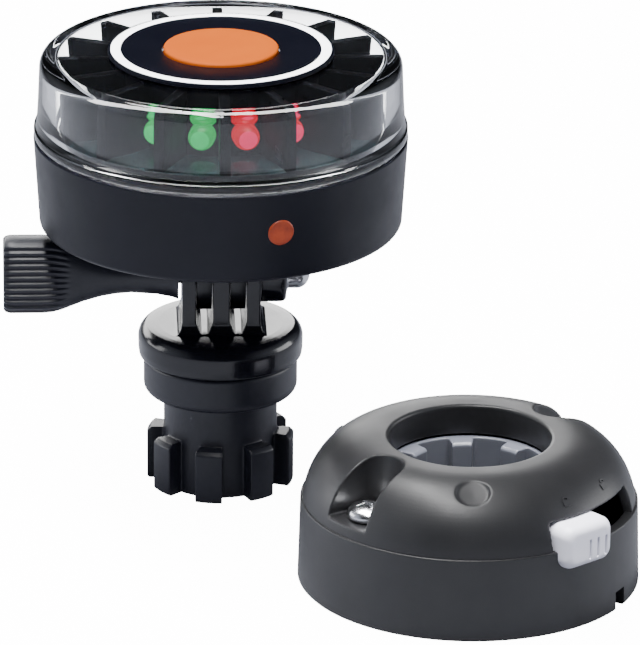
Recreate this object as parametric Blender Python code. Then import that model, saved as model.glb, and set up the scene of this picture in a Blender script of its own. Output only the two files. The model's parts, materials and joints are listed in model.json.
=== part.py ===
"""Portable tricolour navigation light on a tilting thumb-screw fork, with its quick-release deck mount.

Metres, +Z up.  The deck mount stands at the origin.  The light stands beside it on the same surface,
and is first modelled about its own upright axis, then moved to its place with one empty.
"""
import math

import bmesh
import bpy
from mathutils import Matrix

# ---- Place of the light beside its mount ----------------------------------------------------------
LIGHT_X = -0.0561
LIGHT_Y = 0.0559
LIGHT_TURN = math.radians(2.4)

# ---- Deck mount -----------------------------------------------------------------------------------
SKIRT_RADIUS = 0.0380
SKIRT_TOP_RADIUS = 0.0375
SKIRT_HEIGHT = 0.0144
SKIRT_WALL = 0.0022
SOCKET_FLOOR = 0.0040
SOCKET_PAD = 0.0134
SOCKET_PAD_TOP = 0.0045
DRAIN_WIDTH = 0.0040
DRAIN_HEIGHT = 0.0044
DRAIN_ANGLE = math.radians(-29.0)
COVER_BOTTOM = 0.0147
COVER_RADIUS = 0.0373
COVER_TOP = 0.0333
COVER_CREST = 0.0210
COVER_WALL = 0.0023
COVER_POWER = 2.2
HOLE_RADIUS = 0.0180
HOLE_LIP_BOTTOM = 0.0264
HOLE_LIP_RADIUS = 0.0200

POCKET_ANGLE = math.radians(-139.5)
POCKET_CENTRE = 0.0262
POCKET_RADIUS = 0.0053
POCKET_FLARE = 0.0013
POCKET_WALL = 0.0016
POCKET_FLOOR = 0.0214
POCKET_UNDERSIDE = 0.0193
POCKET_REACH = 0.0420
SCREW_CIRCLE = 0.0294
SCREW_HEAD = 0.0047
SCREW_SHANK = 0.0022
SCREW_TIP = 0.0010

LEVER_ANGLE = math.radians(-49.3)
LEVER_SLOT_START = math.radians(-61.2)
LEVER_SLOT_END = math.radians(-14.2)
LEVER_SLOT_TOP = 0.0252
LEVER_WIDTH = 0.0138
LEVER_TOP = 0.0249
LEVER_BOTTOM = 0.0150
LEVER_INNER = 0.0329
LEVER_OUTER = 0.0399
LEVER_CORNER = 0.0026
LEVER_RIBS = (0.0000, 0.0023, 0.0046)
DIMPLE_RADIUS = 0.0039
DIMPLE_CENTRE = 0.0293

RING_INNER = 0.0174
RING_OUTER = 0.0189
RING_FOOT = 0.0220
RING_TOP = 0.0259
RING_TOOTH_TIP = 0.0139
RING_TOOTH_BOTTOM = 0.0172
RING_TOOTH_ARC = math.radians(18.5)
RING_TOOTH_PHASE = math.radians(95.5)
TEETH = 8

# ---- Adaptor: star-footed spigot and fork cap -------------------------------------------------------
NECK_RADIUS = 0.0130
TOOTH_RADIUS = 0.01685
TOOTH_HEIGHT = 0.0125
TOOTH_ARC = math.radians(21.8)
TOOTH_PHASE = math.radians(-100.9)
COLLAR_BOTTOM = 0.0220
COLLAR_RADIUS = 0.0176
COLLAR_EDGE = 0.0022
SPIGOT_TOP = 0.0305
SPIGOT_BORE = 0.0033
SPIGOT_COUNTERBORE = 0.0065
CAP_BOTTOM = 0.0308
CAP_TOP = 0.0384
CAP_RADIUS = 0.01885

AXIS_HEIGHT = 0.0504
FINGER_RADIUS = 0.0084
OUTER_FINGER = (0.0058, 0.0089)
UPPER_FINGER = (0.00225, 0.00545)
MIDDLE_FINGER = 0.0019
FINGER_ROOT = 0.0413
BORE_RADIUS = 0.0028
BOSS_RADIUS = 0.0068
BOSS_END = 0.0149
NUT_POCKET_START = 0.0112

# ---- Light head -------------------------------------------------------------------------------------
HOUSING_BOTTOM = 0.0629
HOUSING_TOP = 0.0839
HOUSING_RADIUS = 0.0412
HOUSING_TOP_RADIUS = 0.0424
HOUSING_INNER = 0.0399
HOUSING_FLOOR = 0.0663
BRACKET_TOP = 0.0626
BRACKET_BOTTOM = 0.0602
BRACKET_RADIUS = 0.0150
BRACKET_SCREW_X = 0.0115
BADGE_RADIUS = 0.0030
BADGE_ANGLE = math.radians(-72.9)
BADGE_HEIGHT = 0.0747

TRAY_BOTTOM = 0.0666
TRAY_FLOOR = 0.0678
TRAY_TOP = 0.0780
TRAY_LENGTH = 0.0560
TRAY_WIDTH = 0.0374
TRAY_WALL = 0.0015
CELL_RADIUS = 0.00525
CELL_LENGTH = 0.0445
CELL_PITCH = 0.0112
CELL_HEIGHT = 0.07335

# ---- Lamp top ---------------------------------------------------------------------------------------
LENS_SKIRT_BOTTOM = 0.0790
LENS_FLANGE = 0.0843
LENS_TOP = 0.1030
LENS_CEILING = 0.1013
LENS_HOLE = 0.0137
FIN_COUNT = 16
FIN_THICKNESS = 0.0023
FIN_FLOOR_RADIUS = 0.0372
FIN_START = 0.0234
FIN_REACH = 0.0370
FIN_TOP = 0.1010
FIN_FLOOR_BOTTOM = 0.0856
FIN_FLOOR_TOP = 0.0870
TUBE_OUTER = 0.0240
TUBE_INNER = 0.0220
LEDGE_TOP = 0.0947
LED_START = 0.0243
LED_HEIGHT = 0.0924
LED_RADIUS = 0.0029
LED_FLANGE = 0.0032
LED_TIP = 0.0052
BOARD_BOTTOM = 0.0950
BOARD_TOP = 0.0966
BOARD_RADIUS = 0.0217
BOARD_SCREW_RADIUS = 0.0196
HUB_BOTTOM = 0.1033
HUB_TOP = 0.1042
HUB_RADIUS = 0.0255
TRIM_RADII = (0.0224, 0.0251)
BUTTON_RADIUS = 0.0130

ROUND = 40
SMALL_ROUND = 16
SHARP = math.radians(35.0)



# ---- Tools --------------------------------------------------------------------------------------------
def finish(name, colour, roughness, metallic=0.0):
    """Make a plain Principled finish from an sRGB colour given as 0 to 255."""
    material = bpy.data.materials.new(name)
    material.use_nodes = True
    shader = material.node_tree.nodes["Principled BSDF"]
    linear = [(channel / 255.0) ** 2.2 for channel in colour]
    shader.inputs["Base Color"].default_value = (*linear, 1.0)
    shader.inputs["Roughness"].default_value = roughness
    shader.inputs["Metallic"].default_value = metallic
    material.diffuse_color = (*linear, 1.0)
    return material


def make_object(name, mesh_data, material):
    """Link a mesh to the scene as a smooth-shaded object with one finish."""
    mesh_data.shade_smooth()
    mesh_data.set_sharp_from_angle(angle=SHARP)
    mesh_data.materials.clear()
    mesh_data.materials.append(material)
    made = bpy.data.objects.new(name, mesh_data)
    bpy.context.scene.collection.objects.link(made)
    return made


def skin(name, rings, material, wrap=False):
    """Close a surface through rings of equal point counts; wrap joins the last ring to the first."""
    shape = bmesh.new()
    loops = [[shape.verts.new(point) for point in ring] for ring in rings]
    pairs = list(zip(loops, loops[1:]))
    if wrap:
        pairs.append((loops[-1], loops[0]))
    for first, second in pairs:
        for index in range(len(first)):
            after = (index + 1) % len(first)
            shape.faces.new((first[index], first[after], second[after], second[index]))
    if not wrap:
        shape.faces.new(loops[0])
        shape.faces.new(loops[-1])
    bmesh.ops.remove_doubles(shape, verts=shape.verts[:], dist=1e-7)
    bmesh.ops.dissolve_degenerate(shape, dist=1e-8, edges=shape.edges[:])
    loose = [edge for edge in shape.edges if not edge.link_faces]
    bmesh.ops.delete(shape, geom=loose, context="EDGES")
    bmesh.ops.recalc_face_normals(shape, faces=shape.faces[:])
    mesh_data = bpy.data.meshes.new(name)
    shape.to_mesh(mesh_data)
    shape.free()
    return make_object(name, mesh_data, material)


def lathe(name, profile, material, segments=ROUND):
    """Turn a closed outline of (radius, height) points about the Z axis."""
    step = 2.0 * math.pi / segments
    rings = []
    for index in range(segments):
        turn = index * step
        rings.append([(r * math.cos(turn), r * math.sin(turn), z) for r, z in profile])
    return skin(name, rings, material, wrap=True)


def sector(name, profile, start, sweep, material, steps=3):
    """Turn an outline of (radius, height) points through part of a circle and cap both ends."""
    rings = []
    for index in range(steps + 1):
        turn = start + sweep * index / steps
        rings.append([(r * math.cos(turn), r * math.sin(turn), z) for r, z in profile])
    return skin(name, rings, material)


def prism(name, outline, low, high, material):
    """Raise an (x, y) outline from one height to another."""
    return skin(name, [[(x, y, z) for x, y in outline] for z in (low, high)], material)


def prism_x(name, outline, low, high, material):
    """Extrude a (y, z) outline along X."""
    return skin(name, [[(x, y, z) for y, z in outline] for x in (low, high)], material)


def prism_y(name, outline, low, high, material):
    """Extrude an (x, z) outline along Y."""
    return skin(name, [[(x, y, z) for x, z in outline] for y in (low, high)], material)


def box_outline(half_x, half_y):
    """Corners of a rectangle centred on the origin."""
    return [(-half_x, -half_y), (half_x, -half_y), (half_x, half_y), (-half_x, half_y)]


def arc(centre_a, centre_b, radius, start, end, steps):
    """Points along a circular arc, angles in degrees."""
    points = []
    for index in range(steps + 1):
        turn = math.radians(start + (end - start) * index / steps)
        points.append((centre_a + radius * math.cos(turn), centre_b + radius * math.sin(turn)))
    return points


def circle_x(x, radius, count, height=AXIS_HEIGHT):
    """A ring of points about a line along X at the given height."""
    ring = []
    for index in range(count):
        turn = 2.0 * math.pi * index / count
        ring.append((x, radius * math.cos(turn), height + radius * math.sin(turn)))
    return ring


def move_mesh(piece, matrix):
    """Move a piece's points, leaving its origin alone."""
    piece.data.transform(matrix)
    return piece


def combine(target, tools, operation):
    """Apply an exact Boolean of each tool to the target, then remove the tool."""
    for tool in tools:
        modifier = target.modifiers.new(operation, "BOOLEAN")
        modifier.operation = operation
        modifier.solver = "EXACT"
        modifier.object = tool
        bpy.context.view_layer.update()
        graph = bpy.context.evaluated_depsgraph_get()
        result = bpy.data.meshes.new_from_object(target.evaluated_get(graph))
        target.modifiers.clear()
        material = target.data.materials[0]
        target.data = result
        result.materials.clear()
        result.materials.append(material)
        for face in result.polygons:
            face.material_index = 0
        bpy.data.objects.remove(tool)
    tidy = bmesh.new()
    tidy.from_mesh(target.data)
    bmesh.ops.remove_doubles(tidy, verts=tidy.verts[:], dist=2e-7)
    bmesh.ops.dissolve_degenerate(tidy, dist=1e-7, edges=tidy.edges[:])
    tidy.to_mesh(target.data)
    tidy.free()
    target.data.shade_smooth()
    target.data.set_sharp_from_angle(angle=SHARP)
    return target


def group(name, pieces):
    """Join separate tool solids into one object, so that one Boolean uses them all."""
    joined = bmesh.new()
    for piece in pieces:
        joined.from_mesh(piece.data)
    mesh_data = bpy.data.meshes.new(name)
    joined.to_mesh(mesh_data)
    joined.free()
    material = pieces[0].data.materials[0]
    for piece in pieces:
        bpy.data.objects.remove(piece)
    return make_object(name, mesh_data, material)


def empty(name, location, parent=None):
    """An empty on a joint's axis."""
    marker = bpy.data.objects.new(name, None)
    marker.location = location
    bpy.context.scene.collection.objects.link(marker)
    if parent:
        attach([marker], parent)
    bpy.context.view_layer.update()
    return marker


def attach(children, parent):
    """Parent objects where they stand."""
    bpy.context.view_layer.update()
    for child in children:
        child.parent = parent
        child.matrix_parent_inverse = parent.matrix_world.inverted()


def polar(radius, angle):
    """Rectangular place of a point on a circle about the origin."""
    return radius * math.cos(angle), radius * math.sin(angle)


def placed(piece, location, turn=0.0):
    """Put a piece at a place, turned about Z."""
    piece.location = location
    piece.rotation_euler = (0.0, 0.0, turn)
    return piece


# ---- Finishes -----------------------------------------------------------------------------------------
def make_finishes():
    """Every finish by name."""
    return {
        "base_plastic": finish("base_plastic", (62, 62, 64), 0.5),
        "ring_plastic": finish("ring_plastic", (112, 114, 120), 0.5),
        "lever_plastic": finish("lever_plastic", (196, 196, 202), 0.42),
        "matte_black": finish("matte_black", (38, 39, 46), 0.5),
        "gloss_black": finish("gloss_black", (26, 27, 33), 0.22),
        "steel": finish("steel", (205, 206, 210), 0.22, 1.0),
        "clear_plastic": finish("clear_plastic", (235, 238, 240), 0.05),
        "seal_rubber": finish("seal_rubber", (24, 24, 26), 0.7),
        "trim_white": finish("trim_white", (240, 241, 244), 0.35),
        "button_orange": finish("button_orange", (236, 139, 79), 0.4),
        "board_green": finish("board_green", (28, 74, 52), 0.5),
        "led_green": finish("led_green", (40, 200, 120), 0.15),
        "led_red": finish("led_red", (220, 40, 60), 0.15),
        "led_white": finish("led_white", (235, 238, 240), 0.15),
        "cell_label": finish("cell_label", (52, 66, 92), 0.35),
        "contact_metal": finish("contact_metal", (190, 188, 180), 0.3, 1.0),
    }


# ---- Deck mount ---------------------------------------------------------------------------------------
def dome_points(radius, top, steps, crest=COVER_CREST, bottom=COVER_BOTTOM):
    """Points up the rounded side of the cover, from its lower edge to its crest."""
    points = []
    for index in range(steps + 1):
        turn = 0.5 * math.pi * index / steps
        reach = max(math.cos(turn), 0.0) ** (2.0 / COVER_POWER)
        rise = math.sin(turn) ** (2.0 / COVER_POWER)
        points.append((crest + (radius - crest) * reach, bottom + (top - bottom) * rise))
    return points


def pocket_outline(grow):
    """Outline of a screw pocket along +X: a round inner end that opens outwards."""
    inner = arc(POCKET_CENTRE, 0.0, POCKET_RADIUS + grow, 90.0, 270.0, 8)
    outer_half = POCKET_RADIUS + POCKET_FLARE + grow
    return inner + [(POCKET_REACH, -outer_half), (POCKET_REACH, outer_half)]


def make_skirt(finishes):
    """Lower half of the deck mount: outer wall, floor and screw posts."""
    plastic = finishes["base_plastic"]
    inner = SKIRT_TOP_RADIUS - SKIRT_WALL
    bevel = 0.0004
    profile = [
        (0.0, 0.0),
        (SKIRT_RADIUS - bevel, 0.0),
        (SKIRT_RADIUS, bevel),
        (SKIRT_TOP_RADIUS, SKIRT_HEIGHT - bevel),
        (SKIRT_TOP_RADIUS - bevel, SKIRT_HEIGHT),
        (inner, SKIRT_HEIGHT),
        (inner, SOCKET_FLOOR),
        (SOCKET_PAD, SOCKET_FLOOR),
        (SOCKET_PAD, SOCKET_PAD_TOP),
        (0.0, SOCKET_PAD_TOP),
    ]
    skirt = lathe("base_skirt", profile, plastic)
    posts = []
    bores = []
    for angle in (POCKET_ANGLE, POCKET_ANGLE + math.pi):
        x, y = polar(SCREW_CIRCLE, angle)
        place = Matrix.Translation((x, y, 0.0))
        post = [(0.0, 0.003), (0.0042, 0.003), (0.0042, POCKET_UNDERSIDE - 0.0003),
                (0.0, POCKET_UNDERSIDE - 0.0003)]
        bore = [(0.0, -0.002), (0.0026, -0.002), (0.0026, 0.022), (0.0, 0.022)]
        posts.append(move_mesh(lathe("post", post, plastic, SMALL_ROUND), place))
        bores.append(move_mesh(lathe("bore", bore, plastic, SMALL_ROUND), place))
    notch = prism("notch", box_outline(0.004, 0.5 * DRAIN_WIDTH), -0.002, DRAIN_HEIGHT, plastic)
    place = Matrix.Rotation(DRAIN_ANGLE, 4, "Z") @ Matrix.Translation((SKIRT_RADIUS, 0.0, 0.0))
    combine(skirt, [group("posts", posts)], "UNION")
    combine(skirt, [group("cuts", bores + [move_mesh(notch, place)])], "DIFFERENCE")
    return skirt


def make_cover(finishes):
    """Domed cover with the socket hole, two screw pockets and two lever slots."""
    plastic = finishes["base_plastic"]
    outer = dome_points(COVER_RADIUS, COVER_TOP, 10)
    inner = dome_points(COVER_RADIUS - COVER_WALL, COVER_TOP - COVER_WALL, 7)
    edge = [(0.0189, COVER_TOP), (0.0183, 0.0331), (HOLE_RADIUS, 0.0327)]
    lip = [(HOLE_RADIUS, HOLE_LIP_BOTTOM), (HOLE_LIP_RADIUS, HOLE_LIP_BOTTOM),
           (HOLE_LIP_RADIUS, COVER_TOP - COVER_WALL)]
    cover = lathe("base_cover", outer + edge + lip + inner[::-1], plastic)
    envelope = [(0.0, COVER_BOTTOM)] + outer + [(0.0, COVER_TOP)]
    blocks = []
    troughs = []
    for angle in (POCKET_ANGLE, POCKET_ANGLE + math.pi):
        turn = Matrix.Rotation(angle, 4, "Z")
        block = prism("block", pocket_outline(POCKET_WALL), POCKET_UNDERSIDE, 0.036, plastic)
        trough = prism("trough", pocket_outline(0.0), POCKET_FLOOR, 0.040, plastic)
        blocks.append(move_mesh(block, turn))
        troughs.append(move_mesh(trough, turn))
    pockets = group("pocket_walls", blocks)
    combine(pockets, [lathe("envelope", envelope, plastic)], "INTERSECT")
    combine(cover, [pockets], "UNION")
    cuts = troughs
    for angle in (POCKET_ANGLE, POCKET_ANGLE + math.pi):
        x, y = polar(SCREW_CIRCLE, angle)
        bore = [(0.0, 0.012), (0.0026, 0.012), (0.0026, 0.0216), (0.0, 0.0216)]
        cuts.append(move_mesh(lathe("bore", bore, plastic, SMALL_ROUND),
                              Matrix.Translation((x, y, 0.0))))
    combine(cover, [group("pocket_cuts", cuts[:2]), group("bore_cuts", cuts[2:])], "DIFFERENCE")
    slots = []
    slot_profile = [(0.030, 0.012), (0.044, 0.012), (0.044, LEVER_SLOT_TOP), (0.030, LEVER_SLOT_TOP)]
    sweep = LEVER_SLOT_END - LEVER_SLOT_START
    for half_turn in (0.0, math.pi):
        slots.append(sector("slot", slot_profile, LEVER_SLOT_START + half_turn, sweep, plastic, 8))
    dimple_height = 0.0316
    dimple = [(0.0, -0.0006), (0.8 * DIMPLE_RADIUS, -0.0004), (DIMPLE_RADIUS, 0.0004),
              (DIMPLE_RADIUS, 0.004), (0.0, 0.004)]
    dimple_tool = lathe("dimple", dimple, plastic, SMALL_ROUND)
    lean = Matrix.Translation((0.0, -DIMPLE_CENTRE, dimple_height)) @ Matrix.Rotation(
        math.radians(24.0), 4, "X")
    combine(cover, [group("slots", slots), move_mesh(dimple_tool, lean)], "DIFFERENCE")
    return cover


def make_deck_screws(finishes):
    """Two pan-head cross-recess screws that hold the mount to the deck."""
    head = POCKET_FLOOR + 0.0003
    profile = [
        (0.0, SCREW_TIP),
        (0.4 * SCREW_SHANK, SCREW_TIP),
        (SCREW_SHANK, SCREW_TIP + 0.003),
        (SCREW_SHANK, head),
        (SCREW_HEAD, head),
        (SCREW_HEAD, head + 0.0011),
        (0.82 * SCREW_HEAD, head + 0.0022),
        (0.45 * SCREW_HEAD, head + 0.0029),
        (0.0, head + 0.0031),
    ]
    screws = []
    for index, angle in enumerate((POCKET_ANGLE, POCKET_ANGLE + math.pi)):
        screw = lathe(f"deck_screw_{index + 1}", profile, finishes["steel"], SMALL_ROUND)
        bars = [prism("bar", box_outline(0.0025, 0.0006), head + 0.0015, head + 0.004,
                      finishes["steel"]),
                prism("bar", box_outline(0.0006, 0.0025), head + 0.0015, head + 0.004,
                      finishes["steel"])]
        combine(screw, bars, "DIFFERENCE")
        x, y = polar(SCREW_CIRCLE, angle)
        screws.append(placed(screw, (x, y, 0.0), math.radians(25.0)))
    return screws


def make_lock_ring(finishes):
    """Turning star ring with eight inward teeth and two lever arms."""
    plastic = finishes["ring_plastic"]
    bottom = SOCKET_FLOOR + 0.0003
    profile = [
        (RING_INNER, bottom),
        (RING_FOOT, bottom),
        (RING_FOOT, bottom + 0.0017),
        (RING_OUTER, bottom + 0.0017),
        (RING_OUTER, RING_TOP),
        (RING_INNER, RING_TOP),
    ]
    ring = lathe("lock_ring", profile, plastic)
    tooth = [(RING_TOOTH_TIP, RING_TOOTH_BOTTOM), (RING_INNER + 0.0006, RING_TOOTH_BOTTOM),
             (RING_INNER + 0.0006, RING_TOP - 0.0001), (RING_TOOTH_TIP + 0.0004, RING_TOP - 0.0001),
             (RING_TOOTH_TIP, RING_TOP - 0.0005)]
    parts = []
    for index in range(TEETH):
        start = RING_TOOTH_PHASE + index * 2.0 * math.pi / TEETH - 0.5 * RING_TOOTH_ARC
        parts.append(sector("tooth", tooth, start, RING_TOOTH_ARC, plastic, 2))
    combine(ring, [group("teeth", parts)], "UNION")
    arms = []
    for half_turn in (0.0, math.pi):
        outline = [(0.0180, -0.0030), (0.0326, -0.0030), (0.0326, 0.0030), (0.0180, 0.0030)]
        arm = prism("arm", outline, 0.0162, 0.0202, plastic)
        arms.append(move_mesh(arm, Matrix.Rotation(LEVER_ANGLE + half_turn, 4, "Z")))
    combine(ring, [group("arms", arms)], "UNION")
    return ring


def grip_ring(x, shrink):
    """Rounded rectangle across a thumb grip at a distance along its arm."""
    corner = LEVER_CORNER - 0.5 * shrink
    half_y = 0.5 * LEVER_WIDTH - shrink - corner
    half_z = 0.5 * (LEVER_TOP - LEVER_BOTTOM) - shrink - corner
    middle = 0.5 * (LEVER_TOP + LEVER_BOTTOM)
    ring = []
    for side_y, side_z, start in ((1, 1, 0.0), (-1, 1, 90.0), (-1, -1, 180.0), (1, -1, 270.0)):
        for y, z in arc(side_y * half_y, middle + side_z * half_z, corner, start, start + 90.0, 4):
            ring.append((x, y, z))
    return ring


def make_lever_grips(finishes):
    """Two light-grey thumb grips at the ends of the lock ring's arms."""
    plastic = finishes["lever_plastic"]
    stations = [(LEVER_INNER, 0.0), (LEVER_OUTER - 0.0019, 0.0), (LEVER_OUTER - 0.0009, 0.0003),
                (LEVER_OUTER - 0.0003, 0.0009), (LEVER_OUTER, 0.0018)]
    grips = []
    for index, half_turn in enumerate((0.0, math.pi)):
        rings = [grip_ring(x, shrink) for x, shrink in stations]
        grip = skin(f"lever_grip_{index + 1}", rings, plastic)
        ribs = []
        for y in LEVER_RIBS:
            rib = prism("rib", box_outline(0.0008, 0.0003), LEVER_BOTTOM + 0.0016,
                        LEVER_BOTTOM + 0.0062, plastic)
            ribs.append(move_mesh(rib, Matrix.Translation((LEVER_OUTER, y, 0.0))))
        combine(grip, [group("ribs", ribs)], "DIFFERENCE")
        grips.append(placed(grip, (0.0, 0.0, 0.0), LEVER_ANGLE + half_turn))
    return grips


# ---- Adaptor ------------------------------------------------------------------------------------------
def make_spigot(finishes):
    """Star-footed spigot that plugs into the deck mount."""
    plastic = finishes["matte_black"]
    edge_centre = COLLAR_RADIUS - COLLAR_EDGE
    edge = arc(edge_centre, COLLAR_BOTTOM + COLLAR_EDGE, COLLAR_EDGE, -90.0, 0.0, 4)
    profile = [
        (SPIGOT_COUNTERBORE, 0.0),
        (NECK_RADIUS, 0.0),
        (NECK_RADIUS, COLLAR_BOTTOM - 0.0010),
        (NECK_RADIUS + 0.0004, COLLAR_BOTTOM - 0.0003),
        (NECK_RADIUS + 0.0011, COLLAR_BOTTOM),
    ] + edge + [
        (COLLAR_RADIUS - 0.0002, SPIGOT_TOP - 0.0004),
        (COLLAR_RADIUS - 0.0006, SPIGOT_TOP),
        (SPIGOT_BORE, SPIGOT_TOP),
        (SPIGOT_BORE, 0.0060),
        (SPIGOT_COUNTERBORE, 0.0060),
    ]
    spigot = lathe("spigot", profile, plastic)
    chamfer = 0.0009
    tooth = [
        (NECK_RADIUS - 0.0006, 0.0),
        (TOOTH_RADIUS - 0.0003, 0.0),
        (TOOTH_RADIUS, 0.0003),
        (TOOTH_RADIUS, TOOTH_HEIGHT - chamfer),
        (TOOTH_RADIUS - chamfer, TOOTH_HEIGHT),
        (NECK_RADIUS - 0.0006, TOOTH_HEIGHT),
    ]
    teeth = []
    for index in range(TEETH):
        start = TOOTH_PHASE + index * 2.0 * math.pi / TEETH - 0.5 * TOOTH_ARC
        teeth.append(sector("tooth", tooth, start, TOOTH_ARC, plastic))
    return combine(spigot, [group("teeth", teeth)], "UNION")


def make_spigot_screw(finishes):
    """Screw that holds the fork cap on the spigot, from below."""
    profile = [(0.0, 0.0012), (0.0050, 0.0012), (0.0055, 0.0017), (0.0055, 0.0057), (0.0030, 0.0057),
               (0.0030, 0.0362), (0.0, 0.0362)]
    screw = lathe("spigot_screw", profile, finishes["steel"], SMALL_ROUND)
    hexagon = [(x, y) for x, y in arc(0.0, 0.0, 0.0029, 0.0, 300.0, 5)]
    socket = prism("socket", hexagon, 0.0, 0.0036, finishes["steel"])
    return combine(screw, [socket], "DIFFERENCE")


def finger_outline(top, radius=FINGER_RADIUS):
    """(y, z) outline of a finger that ends below in a half circle about the tilt axis."""
    lower = arc(0.0, AXIS_HEIGHT, radius, 180.0, 360.0, 12)
    return lower + [(radius, top), (-radius, top)]


def make_fork_cap(finishes):
    """Glossy cap with three upright fingers and the nut boss."""
    plastic = finishes["gloss_black"]
    profile = [
        (0.0, CAP_TOP - 0.0016),
        (SPIGOT_BORE, CAP_TOP - 0.0016),
        (SPIGOT_BORE, CAP_BOTTOM),
        (CAP_RADIUS - 0.0009, CAP_BOTTOM),
        (CAP_RADIUS - 0.0003, CAP_BOTTOM + 0.0006),
        (CAP_RADIUS, CAP_BOTTOM + 0.0018),
        (CAP_RADIUS, CAP_TOP - 0.0026),
        (CAP_RADIUS - 0.0004, CAP_TOP - 0.0016),
        (CAP_RADIUS - 0.0014, CAP_TOP - 0.0008),
        (CAP_RADIUS - 0.0029, CAP_TOP - 0.0002),
        (CAP_RADIUS - 0.0046, CAP_TOP),
        (0.0, CAP_TOP),
    ]
    cap = lathe("fork_cap", profile, plastic)
    inner, outer = OUTER_FINGER
    high = 0.062
    low = CAP_TOP - 0.0008
    gap = CAP_TOP + 0.0002
    right = [
        (MIDDLE_FINGER, high),
        (MIDDLE_FINGER, FINGER_ROOT),
        (MIDDLE_FINGER + 0.0011, gap),
        (inner - 0.0011, gap),
        (inner, FINGER_ROOT),
        (inner, high),
        (outer, high),
        (outer, FINGER_ROOT),
        (outer + 0.0004, CAP_TOP + 0.0011),
        (outer + 0.0013, CAP_TOP + 0.0001),
        (outer + 0.0013, low),
    ]
    left = [(-x, z) for x, z in right[::-1]]
    comb = prism_y("comb", left + right, -0.0095, 0.0095, plastic)
    top_arc = arc(0.0, AXIS_HEIGHT, FINGER_RADIUS, 0.0, 180.0, 12)
    side = [(-0.0092, low - 0.0005), (0.0092, low - 0.0005), (0.0092, CAP_TOP + 0.0004),
            (0.0085, FINGER_ROOT - 0.0008)] + top_arc + [(-0.0085, FINGER_ROOT - 0.0008),
                                                         (-0.0092, CAP_TOP + 0.0004)]
    combine(comb, [prism_x("side", side, -0.013, 0.013, plastic)], "INTERSECT")
    boss = skin("boss", [circle_x(outer - 0.0006, BOSS_RADIUS, 28),
                         circle_x(BOSS_END - 0.0012, BOSS_RADIUS, 28),
                         circle_x(BOSS_END - 0.0011, BOSS_RADIUS - 0.0004, 28),
                         circle_x(BOSS_END, BOSS_RADIUS - 0.0004, 28)], plastic)
    combine(cap, [comb, boss], "UNION")
    bore = skin("bore", [circle_x(-0.014, BORE_RADIUS, 20), circle_x(0.018, BORE_RADIUS, 20)], plastic)
    pocket = skin("pocket", [circle_x(NUT_POCKET_START, 0.0050, 6), circle_x(0.018, 0.0050, 6)],
                  plastic)
    return combine(cap, [bore, pocket], "DIFFERENCE")


def make_cap_nut(finishes):
    """Domed stainless nut held in the fork's boss."""
    steel = finishes["steel"]
    start = NUT_POCKET_START + 0.0003
    shoulder = BOSS_END + 0.0003
    hexagon = skin("cap_nut", [circle_x(start, 0.0046, 6), circle_x(shoulder, 0.0046, 6)], steel)
    dome = [(shoulder - 0.0005, 0.00375), (0.0178, 0.00375), (0.0190, 0.0034), (0.0199, 0.0025),
            (0.0204, 0.0012)]
    cap = skin("dome", [circle_x(x, radius, SMALL_ROUND) for x, radius in dome], steel)
    bore = skin("bore", [circle_x(0.009, BORE_RADIUS, 16), circle_x(0.0180, BORE_RADIUS, 16)], steel)
    combine(hexagon, [cap], "UNION")
    return combine(hexagon, [bore], "DIFFERENCE")


def make_clamp_screw(finishes):
    """Steel screw along the tilt axis."""
    stations = [(-0.0335, 0.0021), (-0.0331, 0.0025), (0.0170, 0.0025), (0.0176, 0.0019)]
    rings = [circle_x(x, radius, SMALL_ROUND) for x, radius in stations]
    return skin("clamp_screw", rings, finishes["steel"])


def knob_ring(x, height, depth, power, ribs):
    """One cross-section of the thumb grip: a rounded slab whose two faces carry ribs."""
    count = 23
    reach = 0.94
    face = []
    for index in range(count):
        share = reach - 2.0 * reach * index / (count - 1)
        side = depth * (1.0 - abs(share) ** power) ** (1.0 / power)
        if index % 2:
            side -= ribs
        face.append((share, side))
    ring = [(x, 0.0, AXIS_HEIGHT + height)]
    ring += [(x, -side, AXIS_HEIGHT + height * share) for share, side in face]
    ring += [(x, 0.0, AXIS_HEIGHT - height)]
    ring += [(x, side, AXIS_HEIGHT + height * share) for share, side in face[::-1]]
    return ring


def make_knob(finishes):
    """Long-reach thumb grip that tightens the tilt joint."""
    rib = 0.0004
    stations = [
        (-0.0097, 0.0061, 0.0061, 2.0, 0.0),
        (-0.0110, 0.0056, 0.0056, 2.0, 0.0),
        (-0.0147, 0.0049, 0.0049, 2.0, 0.0),
        (-0.0205, 0.0045, 0.0045, 2.0, 0.0),
        (-0.0240, 0.0048, 0.0046, 2.0, 0.0),
        (-0.0272, 0.0053, 0.0047, 2.2, 0.0),
        (-0.0312, 0.0064, 0.0048, 2.5, 0.0),
        (-0.0340, 0.0074, 0.0049, 2.9, 0.0),
        (-0.0362, 0.0082, 0.0050, 3.3, 0.6 * rib),
        (-0.0382, 0.0087, 0.0050, 3.6, rib),
        (-0.0405, 0.0089, 0.0050, 3.8, rib),
        (-0.0480, 0.0089, 0.0050, 3.8, rib),
        (-0.0490, 0.0086, 0.0047, 3.8, rib),
        (-0.0495, 0.0079, 0.0042, 3.8, 0.8 * rib),
    ]
    rings = [knob_ring(*station) for station in stations]
    grip = skin("knob_grip", rings, finishes["matte_black"])
    bore = skin("bore", [circle_x(-0.0340, BORE_RADIUS, 20), circle_x(-0.0060, BORE_RADIUS, 20)],
                finishes["matte_black"])
    return combine(grip, [bore], "DIFFERENCE")


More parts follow.
